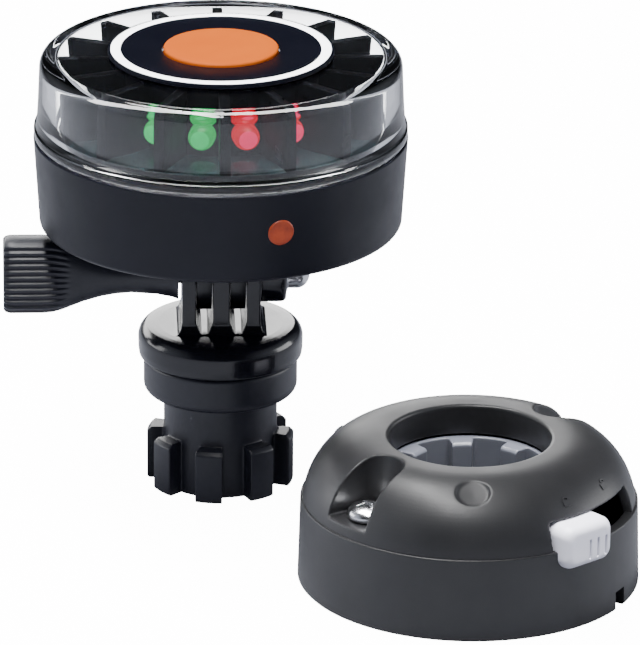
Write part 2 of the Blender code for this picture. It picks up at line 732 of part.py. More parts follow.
# ---- Light head ---------------------------------------------------------------------------------------
def make_tilt_bracket(finishes):
    """Plate under the housing with the two fingers that enter the fork."""
    plastic = finishes["gloss_black"]
    plate = [(0.0, BRACKET_BOTTOM), (BRACKET_RADIUS - 0.0006, BRACKET_BOTTOM),
             (BRACKET_RADIUS, BRACKET_BOTTOM + 0.0006), (BRACKET_RADIUS, BRACKET_TOP),
             (0.0, BRACKET_TOP)]
    bracket = lathe("tilt_bracket", plate, plastic, 36)
    near, far = UPPER_FINGER
    fingers = []
    holes = []
    for side in (-1.0, 1.0):
        low, high = sorted((side * near, side * far))
        fingers.append(prism_x("finger", finger_outline(BRACKET_BOTTOM + 0.001), low, high, plastic))
        hole = [(0.0, 0.058), (0.0017, 0.058), (0.0017, 0.064), (0.0, 0.064)]
        place = Matrix.Translation((side * BRACKET_SCREW_X, 0.0, 0.0)) @ Matrix.Rotation(0.2, 4, "Z")
        holes.append(move_mesh(lathe("hole", hole, plastic, 16), place))
    bore = skin("bore", [circle_x(-0.009, BORE_RADIUS, 20), circle_x(0.009, BORE_RADIUS, 20)], plastic)
    combine(bracket, [group("fingers", fingers)], "UNION")
    return combine(bracket, [group("holes", holes), bore], "DIFFERENCE")


def make_bracket_screws(finishes):
    """Two screws that hold the bracket to the housing floor."""
    head = BRACKET_BOTTOM - 0.0003
    profile = [(0.0, head - 0.0013), (0.0020, head - 0.0013), (0.0028, head - 0.0007), (0.0028, head),
               (0.0014, head), (0.0014, 0.0652), (0.0, 0.0652)]
    screws = []
    for index, side in enumerate((-1.0, 1.0)):
        screw = lathe(f"bracket_screw_{index + 1}", profile, finishes["steel"], 12)
        screws.append(placed(screw, (side * BRACKET_SCREW_X, 0.0, 0.0)))
    return screws


def make_housing(finishes):
    """Black cup that holds the cells."""
    plastic = finishes["matte_black"]
    profile = [
        (0.0, HOUSING_BOTTOM),
        (HOUSING_RADIUS - 0.0015, HOUSING_BOTTOM),
        (HOUSING_RADIUS - 0.0004, HOUSING_BOTTOM + 0.0005),
        (HOUSING_RADIUS, HOUSING_BOTTOM + 0.0015),
        (HOUSING_TOP_RADIUS, HOUSING_TOP - 0.0003),
        (HOUSING_TOP_RADIUS - 0.0003, HOUSING_TOP),
        (HOUSING_INNER, HOUSING_TOP),
        (HOUSING_INNER, HOUSING_FLOOR),
        (0.0, HOUSING_FLOOR),
    ]
    housing = lathe("housing", profile, plastic)
    holes = []
    for side in (-1.0, 1.0):
        hole = [(0.0, 0.060), (0.0017, 0.060), (0.0017, 0.0655), (0.0, 0.0655)]
        holes.append(move_mesh(lathe("hole", hole, plastic, 12),
                               Matrix.Translation((side * BRACKET_SCREW_X, 0.0, 0.0))))
    recess = [(0.0, 0.0), (BADGE_RADIUS + 0.0002, 0.0), (BADGE_RADIUS + 0.0002, 0.004), (0.0, 0.004)]
    badge_recess = lathe("recess", recess, plastic, 24)
    move_mesh(badge_recess, badge_frame(-0.0010))
    return combine(housing, [group("holes", holes), badge_recess], "DIFFERENCE")


def badge_frame(offset):
    """Frame on the housing's side where the round inlay sits, its +Z pointing out of the wall."""
    share = (BADGE_HEIGHT - HOUSING_BOTTOM) / (HOUSING_TOP - HOUSING_BOTTOM)
    radius = HOUSING_RADIUS + (HOUSING_TOP_RADIUS - HOUSING_RADIUS) * share + offset
    turn = Matrix.Rotation(BADGE_ANGLE, 4, "Z") @ Matrix.Rotation(math.radians(93.0), 4, "Y")
    x, y = polar(radius, BADGE_ANGLE)
    return Matrix.Translation((x, y, BADGE_HEIGHT)) @ turn


def make_badge(finishes):
    """Plain round orange inlay on the housing."""
    profile = [(0.0, 0.0), (BADGE_RADIUS, 0.0), (BADGE_RADIUS, 0.0008), (BADGE_RADIUS - 0.0002, 0.0010),
               (0.0, 0.0010)]
    badge = lathe("housing_inlay", profile, finishes["button_orange"], 24)
    return move_mesh(badge, badge_frame(-0.0008))


def make_battery_tray(finishes):
    """Open tray that keeps the three cells in place."""
    plastic = finishes["matte_black"]
    half_x = 0.5 * TRAY_LENGTH
    half_y = 0.5 * TRAY_WIDTH
    tray = prism("battery_tray", box_outline(half_x, half_y), TRAY_BOTTOM, TRAY_TOP, plastic)
    well = prism("well", box_outline(half_x - TRAY_WALL, half_y - TRAY_WALL), TRAY_FLOOR,
                 TRAY_TOP + 0.002, plastic)
    return combine(tray, [well], "DIFFERENCE")


def make_cells(finishes):
    """Three AAA cells, side by side."""
    half = 0.5 * CELL_LENGTH
    profile = [(0.0, -half), (0.0046, -half), (CELL_RADIUS, -half + 0.0006),
               (CELL_RADIUS, half - 0.0014), (0.0046, half - 0.0008), (0.0019, half - 0.0008),
               (0.0019, half), (0.0, half)]
    cells = []
    for index in range(3):
        cell = lathe(f"battery_cell_{index + 1}", profile, finishes["cell_label"], SMALL_ROUND)
        way = 90.0 if index % 2 else -90.0
        cell.rotation_euler = (0.0, math.radians(way), 0.0)
        cell.location = (0.0, (index - 1) * CELL_PITCH, CELL_HEIGHT)
        cells.append(cell)
    return cells


def make_contacts(finishes):
    """Sprung contact plates at both ends of the tray."""
    metal = finishes["contact_metal"]
    inner = 0.5 * TRAY_LENGTH - TRAY_WALL
    contacts = []
    for name, side in (("contact_left", -1.0), ("contact_right", 1.0)):
        face = side * (inner - 0.0003)
        back = side * (inner - 0.0008)
        low, high = sorted((face, back))
        plate = prism(name, [(low, -0.0165), (high, -0.0165), (high, 0.0165), (low, 0.0165)],
                      TRAY_FLOOR + 0.0004, TRAY_TOP - 0.0006, metal)
        cones = []
        for index in range(3):
            rings = []
            for x, radius in ((face - side * 0.0002, 0.0034), (side * (0.5 * CELL_LENGTH + 0.0003),
                                                               0.0018)):
                ring = circle_x(x, radius, 12, CELL_HEIGHT)
                rings.append([(px, py + (index - 1) * CELL_PITCH, pz) for px, py, pz in ring])
            cones.append(skin("cone", rings, metal))
        contacts.append(combine(plate, [group("cones", cones)], "UNION"))
    return contacts


# ---- Lamp top -----------------------------------------------------------------------------------------
def make_lens(finishes):
    """Clear cap that turns off the housing."""
    profile = [
        (0.0360, LENS_SKIRT_BOTTOM),
        (0.0382, LENS_SKIRT_BOTTOM),
        (0.0382, LENS_FLANGE),
        (0.0421, LENS_FLANGE),
        (0.0423, LENS_FLANGE + 0.0003),
        (0.0423, LENS_FLANGE + 0.0018),
        (0.0419, LENS_FLANGE + 0.0024),
        (0.0409, LENS_TOP - 0.0036),
        (0.0406, LENS_TOP - 0.0020),
        (0.0399, LENS_TOP - 0.0009),
        (0.0388, LENS_TOP - 0.0002),
        (0.0376, LENS_TOP),
        (LENS_HOLE, LENS_TOP),
        (LENS_HOLE, LENS_CEILING),
        (0.0370, LENS_CEILING),
        (0.0375, LENS_CEILING - 0.0005),
        (0.0375, 0.0853),
        (0.0360, 0.0853),
    ]
    return lathe("lens", profile, finishes["clear_plastic"])


def make_lens_seal(finishes):
    """O-ring between the lens skirt and the housing."""
    profile = arc(0.03905, 0.0831, 0.00065, 0.0, 300.0, 5)
    return lathe("lens_seal", profile, finishes["seal_rubber"])


def make_fin_ring(finishes):
    """Black star whose sixteen fins divide the light into sectors."""
    plastic = finishes["matte_black"]
    profile = [
        (FIN_FLOOR_RADIUS, FIN_FLOOR_BOTTOM),
        (FIN_FLOOR_RADIUS, FIN_FLOOR_TOP),
        (TUBE_OUTER, FIN_FLOOR_TOP),
        (TUBE_OUTER, FIN_TOP),
        (TUBE_INNER, FIN_TOP),
        (TUBE_INNER, LEDGE_TOP),
        (0.0175, LEDGE_TOP),
        (0.0175, LEDGE_TOP - 0.0018),
        (TUBE_INNER, LEDGE_TOP - 0.0018),
        (TUBE_INNER, FIN_FLOOR_BOTTOM),
    ]
    ring = lathe("fin_ring", profile, plastic)
    fins = []
    half = 0.5 * FIN_THICKNESS
    for index in range(FIN_COUNT):
        outline = [(FIN_START, -half), (FIN_REACH, -half), (FIN_REACH, half), (FIN_START, half)]
        fin = prism("fin", outline, FIN_FLOOR_TOP - 0.0006, FIN_TOP - 0.0001, plastic)
        turn = Matrix.Rotation(math.radians(-90.0) + index * 2.0 * math.pi / FIN_COUNT, 4, "Z")
        fins.append(move_mesh(fin, turn))
    combine(ring, [group("fins", fins)], "UNION")
    holes = []
    for side in (-1.0, 1.0):
        hole = [(0.0, 0.090), (0.0015, 0.090), (0.0015, 0.096), (0.0, 0.096)]
        holes.append(move_mesh(lathe("hole", hole, plastic, 12),
                               Matrix.Translation((side * BOARD_SCREW_RADIUS, 0.0, 0.0))))
    return combine(ring, [group("holes", holes)], "DIFFERENCE")


def make_leds(finishes):
    """Sixteen round LEDs, one in each bay between two fins."""
    profile = [(0.0, 0.0), (LED_FLANGE, 0.0), (LED_FLANGE, 0.0010), (LED_RADIUS, 0.0010),
               (LED_RADIUS, LED_TIP - 0.0026), (0.6 * LED_RADIUS, LED_TIP - 0.0007), (0.0, LED_TIP)]
    shapes = {}
    leds = []
    for index in range(FIN_COUNT):
        heading = (index + 0.5) * 360.0 / FIN_COUNT
        if heading < 112.5:
            colour = "led_red"
        elif heading > 247.5:
            colour = "led_green"
        else:
            colour = "led_white"
        name = f"led_{index + 1:02d}"
        if colour not in shapes:
            led = lathe(name, profile, finishes[colour], 8)
            shapes[colour] = led.data
        else:
            led = bpy.data.objects.new(name, shapes[colour])
            bpy.context.scene.collection.objects.link(led)
        turn = math.radians(-90.0 + heading)
        x, y = polar(LED_START, turn)
        led.location = (x, y, LED_HEIGHT)
        led.rotation_euler = (0.0, math.radians(90.0), turn)
        leds.append(led)
    return leds


def make_board(finishes):
    """Round circuit board under the button, and its two screws."""
    board_profile = [(0.0, BOARD_BOTTOM), (BOARD_RADIUS, BOARD_BOTTOM), (BOARD_RADIUS, BOARD_TOP),
                     (0.0, BOARD_TOP)]
    board = lathe("led_board", board_profile, finishes["board_green"], 36)
    screw_profile = [(0.0, 0.0932), (0.0012, 0.0932), (0.0012, BOARD_TOP + 0.0003),
                     (0.0021, BOARD_TOP + 0.0003), (0.0021, BOARD_TOP + 0.0012),
                     (0.0013, BOARD_TOP + 0.0017), (0.0, BOARD_TOP + 0.0017)]
    holes = []
    screws = []
    for index, side in enumerate((-1.0, 1.0)):
        hole = [(0.0, 0.094), (0.0015, 0.094), (0.0015, 0.098), (0.0, 0.098)]
        holes.append(move_mesh(lathe("hole", hole, finishes["board_green"], 12),
                               Matrix.Translation((side * BOARD_SCREW_RADIUS, 0.0, 0.0))))
        screw = lathe(f"board_screw_{index + 1}", screw_profile, finishes["steel"], 12)
        screws.append(placed(screw, (side * BOARD_SCREW_RADIUS, 0.0, 0.0)))
    combine(board, [group("holes", holes)], "DIFFERENCE")
    return [board] + screws


def make_switch(finishes):
    """Small push switch at the middle of the board."""
    rings = []
    for half, height in ((0.0030, BOARD_TOP + 0.0003), (0.0030, BOARD_TOP + 0.0033),
                         (0.0016, BOARD_TOP + 0.0034), (0.0016, BOARD_TOP + 0.0040)):
        rings.append([(x, y, height) for x, y in box_outline(half, half)])
    return skin("tact_switch", rings, finishes["matte_black"])


def make_hub(finishes):
    """Black hub disc on the lens and the white ring let into it."""
    inner, outer = TRIM_RADII
    gap = 0.0001
    groove = HUB_TOP - 0.0005
    hub_profile = [
        (BUTTON_RADIUS + 0.00035, HUB_BOTTOM),
        (HUB_RADIUS, HUB_BOTTOM),
        (HUB_RADIUS, HUB_TOP - 0.0002),
        (HUB_RADIUS - 0.00015, HUB_TOP),
        (outer + gap, HUB_TOP),
        (outer + gap, groove),
        (inner - gap, groove),
        (inner - gap, HUB_TOP),
        (BUTTON_RADIUS + 0.00055, HUB_TOP),
        (BUTTON_RADIUS + 0.00035, HUB_TOP - 0.0002),
    ]
    hub = lathe("hub_cap", hub_profile, finishes["gloss_black"])
    trim_profile = [(inner, groove + gap), (outer, groove + gap), (outer, HUB_TOP + 0.00005),
                    (inner, HUB_TOP + 0.00005)]
    trim = lathe("hub_trim", trim_profile, finishes["trim_white"])
    return [hub, trim]


def make_button(finishes):
    """Large orange switch button."""
    profile = [
        (0.0, 0.1017),
        (0.0030, 0.1017),
        (0.0030, 0.1026),
        (BUTTON_RADIUS, 0.1026),
        (BUTTON_RADIUS, 0.1044),
        (BUTTON_RADIUS - 0.0004, 0.1047),
        (0.0090, 0.10485),
        (0.0, 0.1049),
    ]
    return lathe("push_button", profile, finishes["button_orange"])


# ---- Assembly -----------------------------------------------------------------------------------------
def build():
    """Model every piece and parent it to the empty of the body that it moves with."""
    for old in list(bpy.data.objects):
        bpy.data.objects.remove(old)
    finishes = make_finishes()

    make_skirt(finishes)
    make_cover(finishes)
    make_deck_screws(finishes)
    lock_axis = empty("lock_ring_axis", (0.0, 0.0, 0.0))
    attach([make_lock_ring(finishes)] + make_lever_grips(finishes), lock_axis)

    light = empty("light_stand", (0.0, 0.0, 0.0))
    knob_axis = empty("knob_axis", (0.0, 0.0, AXIS_HEIGHT), light)
    tilt_axis = empty("tilt_axis", (0.0, 0.0, AXIS_HEIGHT), light)
    lens_axis = empty("lens_axis", (0.0, 0.0, LENS_FLANGE), tilt_axis)
    button_axis = empty("button_axis", (0.0, 0.0, HUB_TOP), lens_axis)

    attach([make_spigot(finishes), make_spigot_screw(finishes), make_fork_cap(finishes),
            make_cap_nut(finishes)], light)
    attach([make_knob(finishes), make_clamp_screw(finishes)], knob_axis)
    attach([make_tilt_bracket(finishes), make_housing(finishes), make_badge(finishes),
            make_battery_tray(finishes)], tilt_axis)
    attach(make_bracket_screws(finishes) + make_cells(finishes) + make_contacts(finishes), tilt_axis)
    attach([make_lens(finishes), make_lens_seal(finishes), make_fin_ring(finishes),
            make_switch(finishes)], lens_axis)
    attach(make_leds(finishes) + make_board(finishes) + make_hub(finishes), lens_axis)
    attach([make_button(finishes)], button_axis)

    light.location = (LIGHT_X, LIGHT_Y, 0.0)
    light.rotation_euler = (0.0, 0.0, LIGHT_TURN)
    bpy.context.view_layer.update()


build()
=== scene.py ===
"""Looks of the navigation light and its deck mount: fine meshes and moulded, clear and lit materials."""
import json
import math

import bmesh
import bpy
from mathutils import Matrix, Vector


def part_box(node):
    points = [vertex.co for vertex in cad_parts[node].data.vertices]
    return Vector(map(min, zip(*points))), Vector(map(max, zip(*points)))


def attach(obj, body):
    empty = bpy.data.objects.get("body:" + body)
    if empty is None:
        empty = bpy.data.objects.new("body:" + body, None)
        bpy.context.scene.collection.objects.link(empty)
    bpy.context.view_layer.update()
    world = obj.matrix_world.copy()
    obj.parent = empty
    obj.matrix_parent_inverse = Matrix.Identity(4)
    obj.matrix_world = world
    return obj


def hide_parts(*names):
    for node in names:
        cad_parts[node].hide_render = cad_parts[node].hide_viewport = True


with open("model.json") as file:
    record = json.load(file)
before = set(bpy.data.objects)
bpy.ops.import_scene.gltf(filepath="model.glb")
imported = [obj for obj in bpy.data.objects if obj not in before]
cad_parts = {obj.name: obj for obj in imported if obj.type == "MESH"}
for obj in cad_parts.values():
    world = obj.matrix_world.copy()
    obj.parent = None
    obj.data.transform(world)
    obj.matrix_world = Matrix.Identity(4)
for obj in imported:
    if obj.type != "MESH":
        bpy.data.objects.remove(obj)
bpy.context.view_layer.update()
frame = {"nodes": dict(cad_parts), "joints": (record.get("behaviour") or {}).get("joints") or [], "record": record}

MM = 0.001
SHARP = math.radians(34.0)
ROUNDED_SHARP = math.radians(50.0)
BEVEL_ANGLE = math.radians(40.0)
FINE = 160
BAYS = 16
LED_START = 24.3
LED_LENGTH = 5.2
LED_CORE = 2.1
SCREW_CIRCLE = 29.4
POCKET = -139.5
CREST = 21.0
DOME_POWER = 2.2
CAMERA_ELEVATION = math.radians(21.02)
CAMERA_DISTANCE = 1.5
CAMERA_LENS = 381.0
CAMERA_SENSOR = 36.0
CAMERA_ROLL = 0.0076
DIM_SIDED = {"lens_cap", "hub_disc", "hub_ring", "orange_button", "fin_star", "housing_cup"}
FILLED = ("hub_ring", "star_ring", "thumb_grip", "pan_screw", "dome_nut")
NODES = frame["nodes"]
TILT = next(joint for joint in frame["joints"] if joint["name"] == "head_tilt")
AXIS = Vector(TILT["pos_m"])
AXIS_Z = AXIS.z / MM
LIGHT_TURN = math.atan2(TILT["axis"][1], TILT["axis"][0])
LIGHT = Matrix.Translation((AXIS.x, AXIS.y, 0.0)) @ Matrix.Rotation(LIGHT_TURN, 4, "Z")
BASE = Matrix.Identity(4)


# ---- Sizes, read from the frame -----------------------------------------------------------------------
def extent(node, place):
    """(radius, low, high) of a CAD node about an upright axis, in millimetres."""
    back = place.inverted()
    points = [back @ vertex.co for vertex in NODES[node].data.vertices]
    radius = max(math.hypot(point.x, point.y) for point in points)
    return radius / MM, min(p.z for p in points) / MM, max(p.z for p in points) / MM


def heading(node):
    """Angle of a CAD node's middle about the mount's axis."""
    low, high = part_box(node)
    middle = 0.5 * (low + high)
    return math.atan2(middle.y, middle.x)


# ---- Mesh tools ---------------------------------------------------------------------------------------
def to_object(name, shape):
    """Turn a bmesh drawn in millimetres into a smooth-shaded object."""
    bmesh.ops.remove_doubles(shape, verts=shape.verts[:], dist=1e-4)
    bmesh.ops.dissolve_degenerate(shape, dist=1e-5, edges=shape.edges[:])
    loose = [edge for edge in shape.edges if not edge.link_faces]
    bmesh.ops.delete(shape, geom=loose, context="EDGES")
    bmesh.ops.recalc_face_normals(shape, faces=shape.faces[:])
    data = bpy.data.meshes.new(name)
    shape.to_mesh(data)
    shape.free()
    data.transform(Matrix.Scale(MM, 4))
    data.shade_smooth()
    data.set_sharp_from_angle(angle=SHARP)
    piece = bpy.data.objects.new(name, data)
    bpy.context.scene.collection.objects.link(piece)
    return piece


def skin(name, rings, wrap=False):
    """Close a surface through rings of equal point counts."""
    shape = bmesh.new()
    loops = [[shape.verts.new(point) for point in ring] for ring in rings]
    pairs = list(zip(loops, loops[1:]))
    if wrap:
        pairs.append((loops[-1], loops[0]))
    for first, second in pairs:
        for index in range(len(first)):
            after = (index + 1) % len(first)
            shape.faces.new((first[index], first[after], second[after], second[index]))
    if not wrap:
        shape.faces.new(loops[0])
        shape.faces.new(loops[-1])
    return to_object(name, shape)


def lathe(name, profile, segments=FINE):
    """Turn a closed outline of (radius, height) points about Z."""
    return sector(name, profile, 0.0, 2.0 * math.pi * (segments - 1) / segments, segments - 1, True)


def sector(name, profile, start, sweep, steps=8, wrap=False):
    """Turn an outline of (radius, height) points through part of a circle."""
    rings = []
    for index in range(steps + 1):
        turn = start + sweep * index / steps
        rings.append([(r * math.cos(turn), r * math.sin(turn), z) for r, z in profile])
    return skin(name, rings, wrap)


def prism(name, outline, low, high):
    """Raise an (x, y) outline from one height to another."""
    return skin(name, [[(x, y, z) for x, y in outline] for z in (low, high)])


def prism_x(name, outline, low, high):
    """Extrude a (y, z) outline along X."""
    return skin(name, [[(x, y, z) for y, z in outline] for x in (low, high)])


def prism_y(name, outline, low, high):
    """Extrude an (x, z) outline along Y."""
    return skin(name, [[(x, y, z) for x, z in outline] for y in (low, high)])


def rectangle(half_x, half_y):
    """Corners of a rectangle centred on the origin."""
    return [(-half_x, -half_y), (half_x, -half_y), (half_x, half_y), (-half_x, half_y)]


def arc(centre_a, centre_b, radius, start, end, steps):
    """Points along a circular arc, angles in degrees."""
    points = []
    for index in range(steps + 1):
        turn = math.radians(start + (end - start) * index / steps)
        points.append((centre_a + radius * math.cos(turn), centre_b + radius * math.sin(turn)))
    return points


def circle_x(x, radius, count):
    """A ring of points about the tilt axis."""
    end = 360.0 * (count - 1) / count
    return [(x, y, z) for y, z in arc(0.0, AXIS_Z, radius, 0.0, end, count - 1)]


def turned(piece, angle):
    """Turn a piece's points about Z."""
    piece.data.transform(Matrix.Rotation(angle, 4, "Z"))
    return piece


def shifted(piece, x, y, z):
    """Move a piece's points, in millimetres."""
    piece.data.transform(Matrix.Translation((x * MM, y * MM, z * MM)))
    return piece


def bake_modifiers(piece):
    """Apply every modifier of a piece."""
    bpy.context.view_layer.update()
    graph = bpy.context.evaluated_depsgraph_get()
    result = bpy.data.meshes.new_from_object(piece.evaluated_get(graph))
    piece.modifiers.clear()
    piece.data = result
    return piece


def group(pieces):
    """Join separate tool solids into one object."""
    joined = bmesh.new()
    for piece in pieces:
        joined.from_mesh(piece.data)
    data = bpy.data.meshes.new("group")
    joined.to_mesh(data)
    joined.free()
    for piece in pieces:
        bpy.data.objects.remove(piece)
    made = bpy.data.objects.new("group", data)
    bpy.context.scene.collection.objects.link(made)
    return made


def combine(target, tools, operation):
    """Apply an exact Boolean of each tool, then remove the tool."""
    for tool in tools:
        modifier = target.modifiers.new(operation, "BOOLEAN")
        modifier.operation = operation
        modifier.solver = "EXACT"
        modifier.object = tool
        bake_modifiers(target)
        bpy.data.objects.remove(tool)
    target.data.shade_smooth()
    target.data.set_sharp_from_angle(angle=SHARP)
    return target


def soften(piece, voxel, rounds, keep):
    """Give a piece the small even radii of a moulding, on a fine mesh."""
    remesh = piece.modifiers.new("remesh", "REMESH")
    remesh.mode = "VOXEL"
    remesh.voxel_size = voxel * MM
    smooth = piece.modifiers.new("smooth", "SMOOTH")
    smooth.factor = 0.5
    smooth.iterations = rounds
    thin = piece.modifiers.new("thin", "DECIMATE")
    thin.ratio = keep
    bake_modifiers(piece)
    piece.data.shade_smooth()
    return piece


def round_edges(piece, width):
    """Break a piece's sharp edges."""
    weld = bmesh.new()
    weld.from_mesh(piece.data)
    bmesh.ops.remove_doubles(weld, verts=weld.verts[:], dist=2e-6)
    weld.to_mesh(piece.data)
    weld.free()
    bevel = piece.modifiers.new("round", "BEVEL")
    bevel.width = width * MM
    bevel.segments = 2
    bevel.limit_method = "ANGLE"
    bevel.angle_limit = BEVEL_ANGLE
    bake_modifiers(piece)
    piece.data.shade_smooth()
    piece.data.set_sharp_from_angle(angle=ROUNDED_SHARP)
    return piece


# ---- Materials ----------------------------------------------------------------------------------------
def linear(colour):
    """An sRGB colour given as 0 to 255, for the shader."""
    return (*[(channel / 255.0) ** 2.2 for channel in colour], 1.0)


class Finish:
    """A Principled material and short calls that add its detail."""

    def __init__(self, name, colour, roughness, metallic=0.0):
        self.material = bpy.data.materials.new(name)
        self.material.use_nodes = True
        self.tree = self.material.node_tree
        self.shader = self.tree.nodes["Principled BSDF"]
        self.colour = linear(colour)
        self.set("Base Color", self.colour)
        self.set("Roughness", roughness)
        self.set("Metallic", metallic)
        self.where = self.tree.nodes.new("ShaderNodeTexCoord").outputs["Object"]

    def set(self, socket, value):
        """Set one of the shader's own sockets."""
        self.shader.inputs[socket].default_value = value
        return self

    def noise(self, scale, detail):
        """A noise texture in object space; scale is per metre."""
        texture = self.tree.nodes.new("ShaderNodeTexNoise")
        texture.inputs["Scale"].default_value = scale
        texture.inputs["Detail"].default_value = detail
        self.tree.links.new(self.where, texture.inputs["Vector"])
        return texture.outputs["Fac"]

    def span(self, value, low, high):
        """Map the useful middle of a noise on to low to high."""
        node = self.tree.nodes.new("ShaderNodeMapRange")
        node.inputs["From Min"].default_value = 0.3
        node.inputs["From Max"].default_value = 0.7
        node.inputs["To Min"].default_value = low
        node.inputs["To Max"].default_value = high
        self.tree.links.new(value, node.inputs["Value"])
        return node.outputs["Result"]

    def gloss(self, scale, low, high):
        """Patchy roughness between two values."""
        patches = self.span(self.noise(scale, 3.0), low, high)
        self.tree.links.new(patches, self.shader.inputs["Roughness"])
        return self

    def tone(self, scale, other):
        """Drift slowly towards another colour."""
        mix = self.tree.nodes.new("ShaderNodeMix")
        mix.data_type = "RGBA"
        first, second = [socket for socket in mix.inputs if socket.type == "RGBA"]
        first.default_value = self.colour
        second.default_value = linear(other)
        self.tree.links.new(self.span(self.noise(scale, 3.0), 0.0, 1.0), mix.inputs["Factor"])
        result = [socket for socket in mix.outputs if socket.type == "RGBA"][0]
        self.tree.links.new(result, self.shader.inputs["Base Color"])
        return self

    def grain(self, scale, strength):
        """Fine surface texture."""
        bump = self.tree.nodes.new("ShaderNodeBump")
        bump.inputs["Strength"].default_value = strength
        bump.inputs["Distance"].default_value = 0.00003
        self.tree.links.new(self.noise(scale, 2.0), bump.inputs["Height"])
        self.tree.links.new(bump.outputs["Normal"], self.shader.inputs["Normal"])
        return self


def led_finish(name, colour, glow):
    """Tinted epoxy that gives its own light."""
    finish = Finish(name, colour, 0.12).set("Specular IOR Level", 0.1)
    finish.set("Emission Color", finish.colour).set("Emission Strength", glow)
    finish.set("Base Color", (*[0.06 * channel for channel in finish.colour[:3]], 1.0))
    return finish


def make_materials():
    """Every finish by name."""
    made = {
        "base": Finish("deck_mount_plastic", (46, 46, 48), 0.42).tone(60.0, (52, 52, 54))
        .gloss(90.0, 0.38, 0.46).grain(2400.0, 0.3),
        # painted shade: the star ring is the same light-grey moulding as the lever, drawn in a darker grey that
        # stands for the shade inside the ring
        "ring": Finish("star_ring_painted_shade_grey", (80, 82, 90), 0.4).tone(80.0, (86, 88, 96))
        .grain(2400.0, 0.2),
        "lever": Finish("lever_plastic", (214, 213, 222), 0.34).tone(120.0, (206, 206, 218))
        .grain(2400.0, 0.15),
        "matte": Finish("matte_black_plastic", (32, 33, 42), 0.4).tone(70.0, (37, 38, 48))
        .gloss(110.0, 0.36, 0.45).grain(2600.0, 0.3),
        "cup": Finish("cup_plastic", (26, 27, 36), 0.4).set("Specular IOR Level", 0.25)
        .tone(70.0, (29, 30, 40)).gloss(110.0, 0.36, 0.45).grain(2600.0, 0.3),
        "gloss": Finish("polished_black_plastic", (24, 25, 33), 0.2).gloss(140.0, 0.14, 0.21)
        .grain(900.0, 0.05),
        "satin": Finish("satin_black_plastic", (20, 21, 28), 0.3).gloss(140.0, 0.26, 0.35)
        .grain(1600.0, 0.1),
        "fin": Finish("fin_plastic", (13, 14, 18), 0.3).set("Specular IOR Level", 0.15)
        .gloss(160.0, 0.26, 0.36).grain(1500.0, 0.06),
        "steel": Finish("stainless_steel", (206, 207, 210), 0.18, 1.0).gloss(300.0, 0.12, 0.26)
        .grain(1800.0, 0.08),
        "clear": Finish("clear_polycarbonate", (252, 253, 254), 0.0).set("Transmission Weight", 1.0)
        .set("IOR", 1.55),
        # painted reflection: the floor between the fins is glossy black, tinted teal-grey here to stand for the
        # reflection it shows
        "plate": Finish("fin_floor_painted_reflection", (28, 44, 46), 0.22).tone(120.0, (24, 38, 42))
        .grain(900.0, 0.05),
        "rubber": Finish("seal_rubber", (22, 22, 24), 0.7).grain(3000.0, 0.3),
        "white": Finish("white_ring", (250, 250, 252), 0.3).tone(200.0, (244, 245, 248)),
        "disc": Finish("membrane_black", (23, 24, 33), 0.3).set("Specular IOR Level", 0.08)
        .tone(90.0, (26, 27, 36))
        .grain(2400.0, 0.12),
        "orange": Finish("orange_button", (234, 112, 34), 0.5).set("Specular IOR Level", 0.1)
        .tone(90.0, (228, 106, 32))
        .grain(2400.0, 0.2),
        "inlay": Finish("orange_inlay", (190, 72, 30), 0.4).tone(400.0, (150, 52, 20))
        .grain(2400.0, 0.15),
        "board": Finish("solder_mask", (24, 70, 48), 0.35).tone(700.0, (30, 84, 58)).grain(1500.0, 0.1),
        "cell": Finish("cell_wrap", (52, 66, 92), 0.3).tone(150.0, (60, 74, 100)).grain(900.0, 0.05),
        "contact": Finish("nickel_contact", (196, 192, 182), 0.28, 1.0).gloss(400.0, 0.2, 0.38),
        "led_green": led_finish("led_green", (0, 200, 90), 0.8),
        "led_green_core": led_finish("led_green_core", (0, 216, 112), 1.0),
        "led_red": led_finish("led_red", (235, 0, 40), 0.9),
        "led_red_core": led_finish("led_red_core", (245, 40, 96), 1.2),
        "led_white": Finish("led_white", (236, 240, 244), 0.08).set("IOR", 1.5)
        .set("Transmission Weight", 0.85),
    }
    return made


def dress(piece, finish, body, slot, place, *replaced):
    """Put a new piece in place with its material, body and the CAD nodes it stands for; the slot argument is not
    used.
    """
    piece.data.transform(place)
    piece.data.materials.clear()
    piece.data.materials.append(finish.material)
    for face in piece.data.polygons:
        face.material_index = 0
    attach(piece, body)
    if replaced:
        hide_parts(*replaced)
    return piece


def paint(finish, *nodes):
    """Give CAD nodes that stay a better material."""
    for node in nodes:
        data = NODES[node].data
        data.materials.clear()
        data.materials.append(finish.material)


# ---- Camera, light and floor --------------------------------------------------------------------------
def make_camera():
    """Long lens at a low three-quarter height."""
    aim = Vector((-0.03337, 0.0, 0.05974))
    back = Vector((0.0, -math.cos(CAMERA_ELEVATION), math.sin(CAMERA_ELEVATION)))
    data = bpy.data.cameras.new("camera")
    data.sensor_width = CAMERA_SENSOR
    data.lens = CAMERA_LENS
    camera = bpy.data.objects.new("camera", data)
    camera.location = aim + CAMERA_DISTANCE * back
    level = back.to_track_quat("Z", "Y").to_matrix().to_4x4()
    roll = Matrix.Rotation(CAMERA_ROLL, 4, "Z")
    camera.rotation_euler = (level @ roll).to_euler()
    bpy.context.scene.collection.objects.link(camera)
    bpy.context.scene.camera = camera


def area_light(name, location, target, size, radiance):
    """A soft square lamp aimed at a point, given by how bright its face is."""
    data = bpy.data.lights.new(name, "AREA")
    data.shape = "RECTANGLE"
    data.size = size[0]
    data.size_y = size[1]
    data.energy = radiance * math.pi * size[0] * size[1]
    lamp = bpy.data.objects.new(name, data)
    lamp.location = location
    lamp.rotation_euler = (Vector(target) - Vector(location)).to_track_quat("-Z", "Y").to_euler()
    bpy.context.scene.collection.objects.link(lamp)


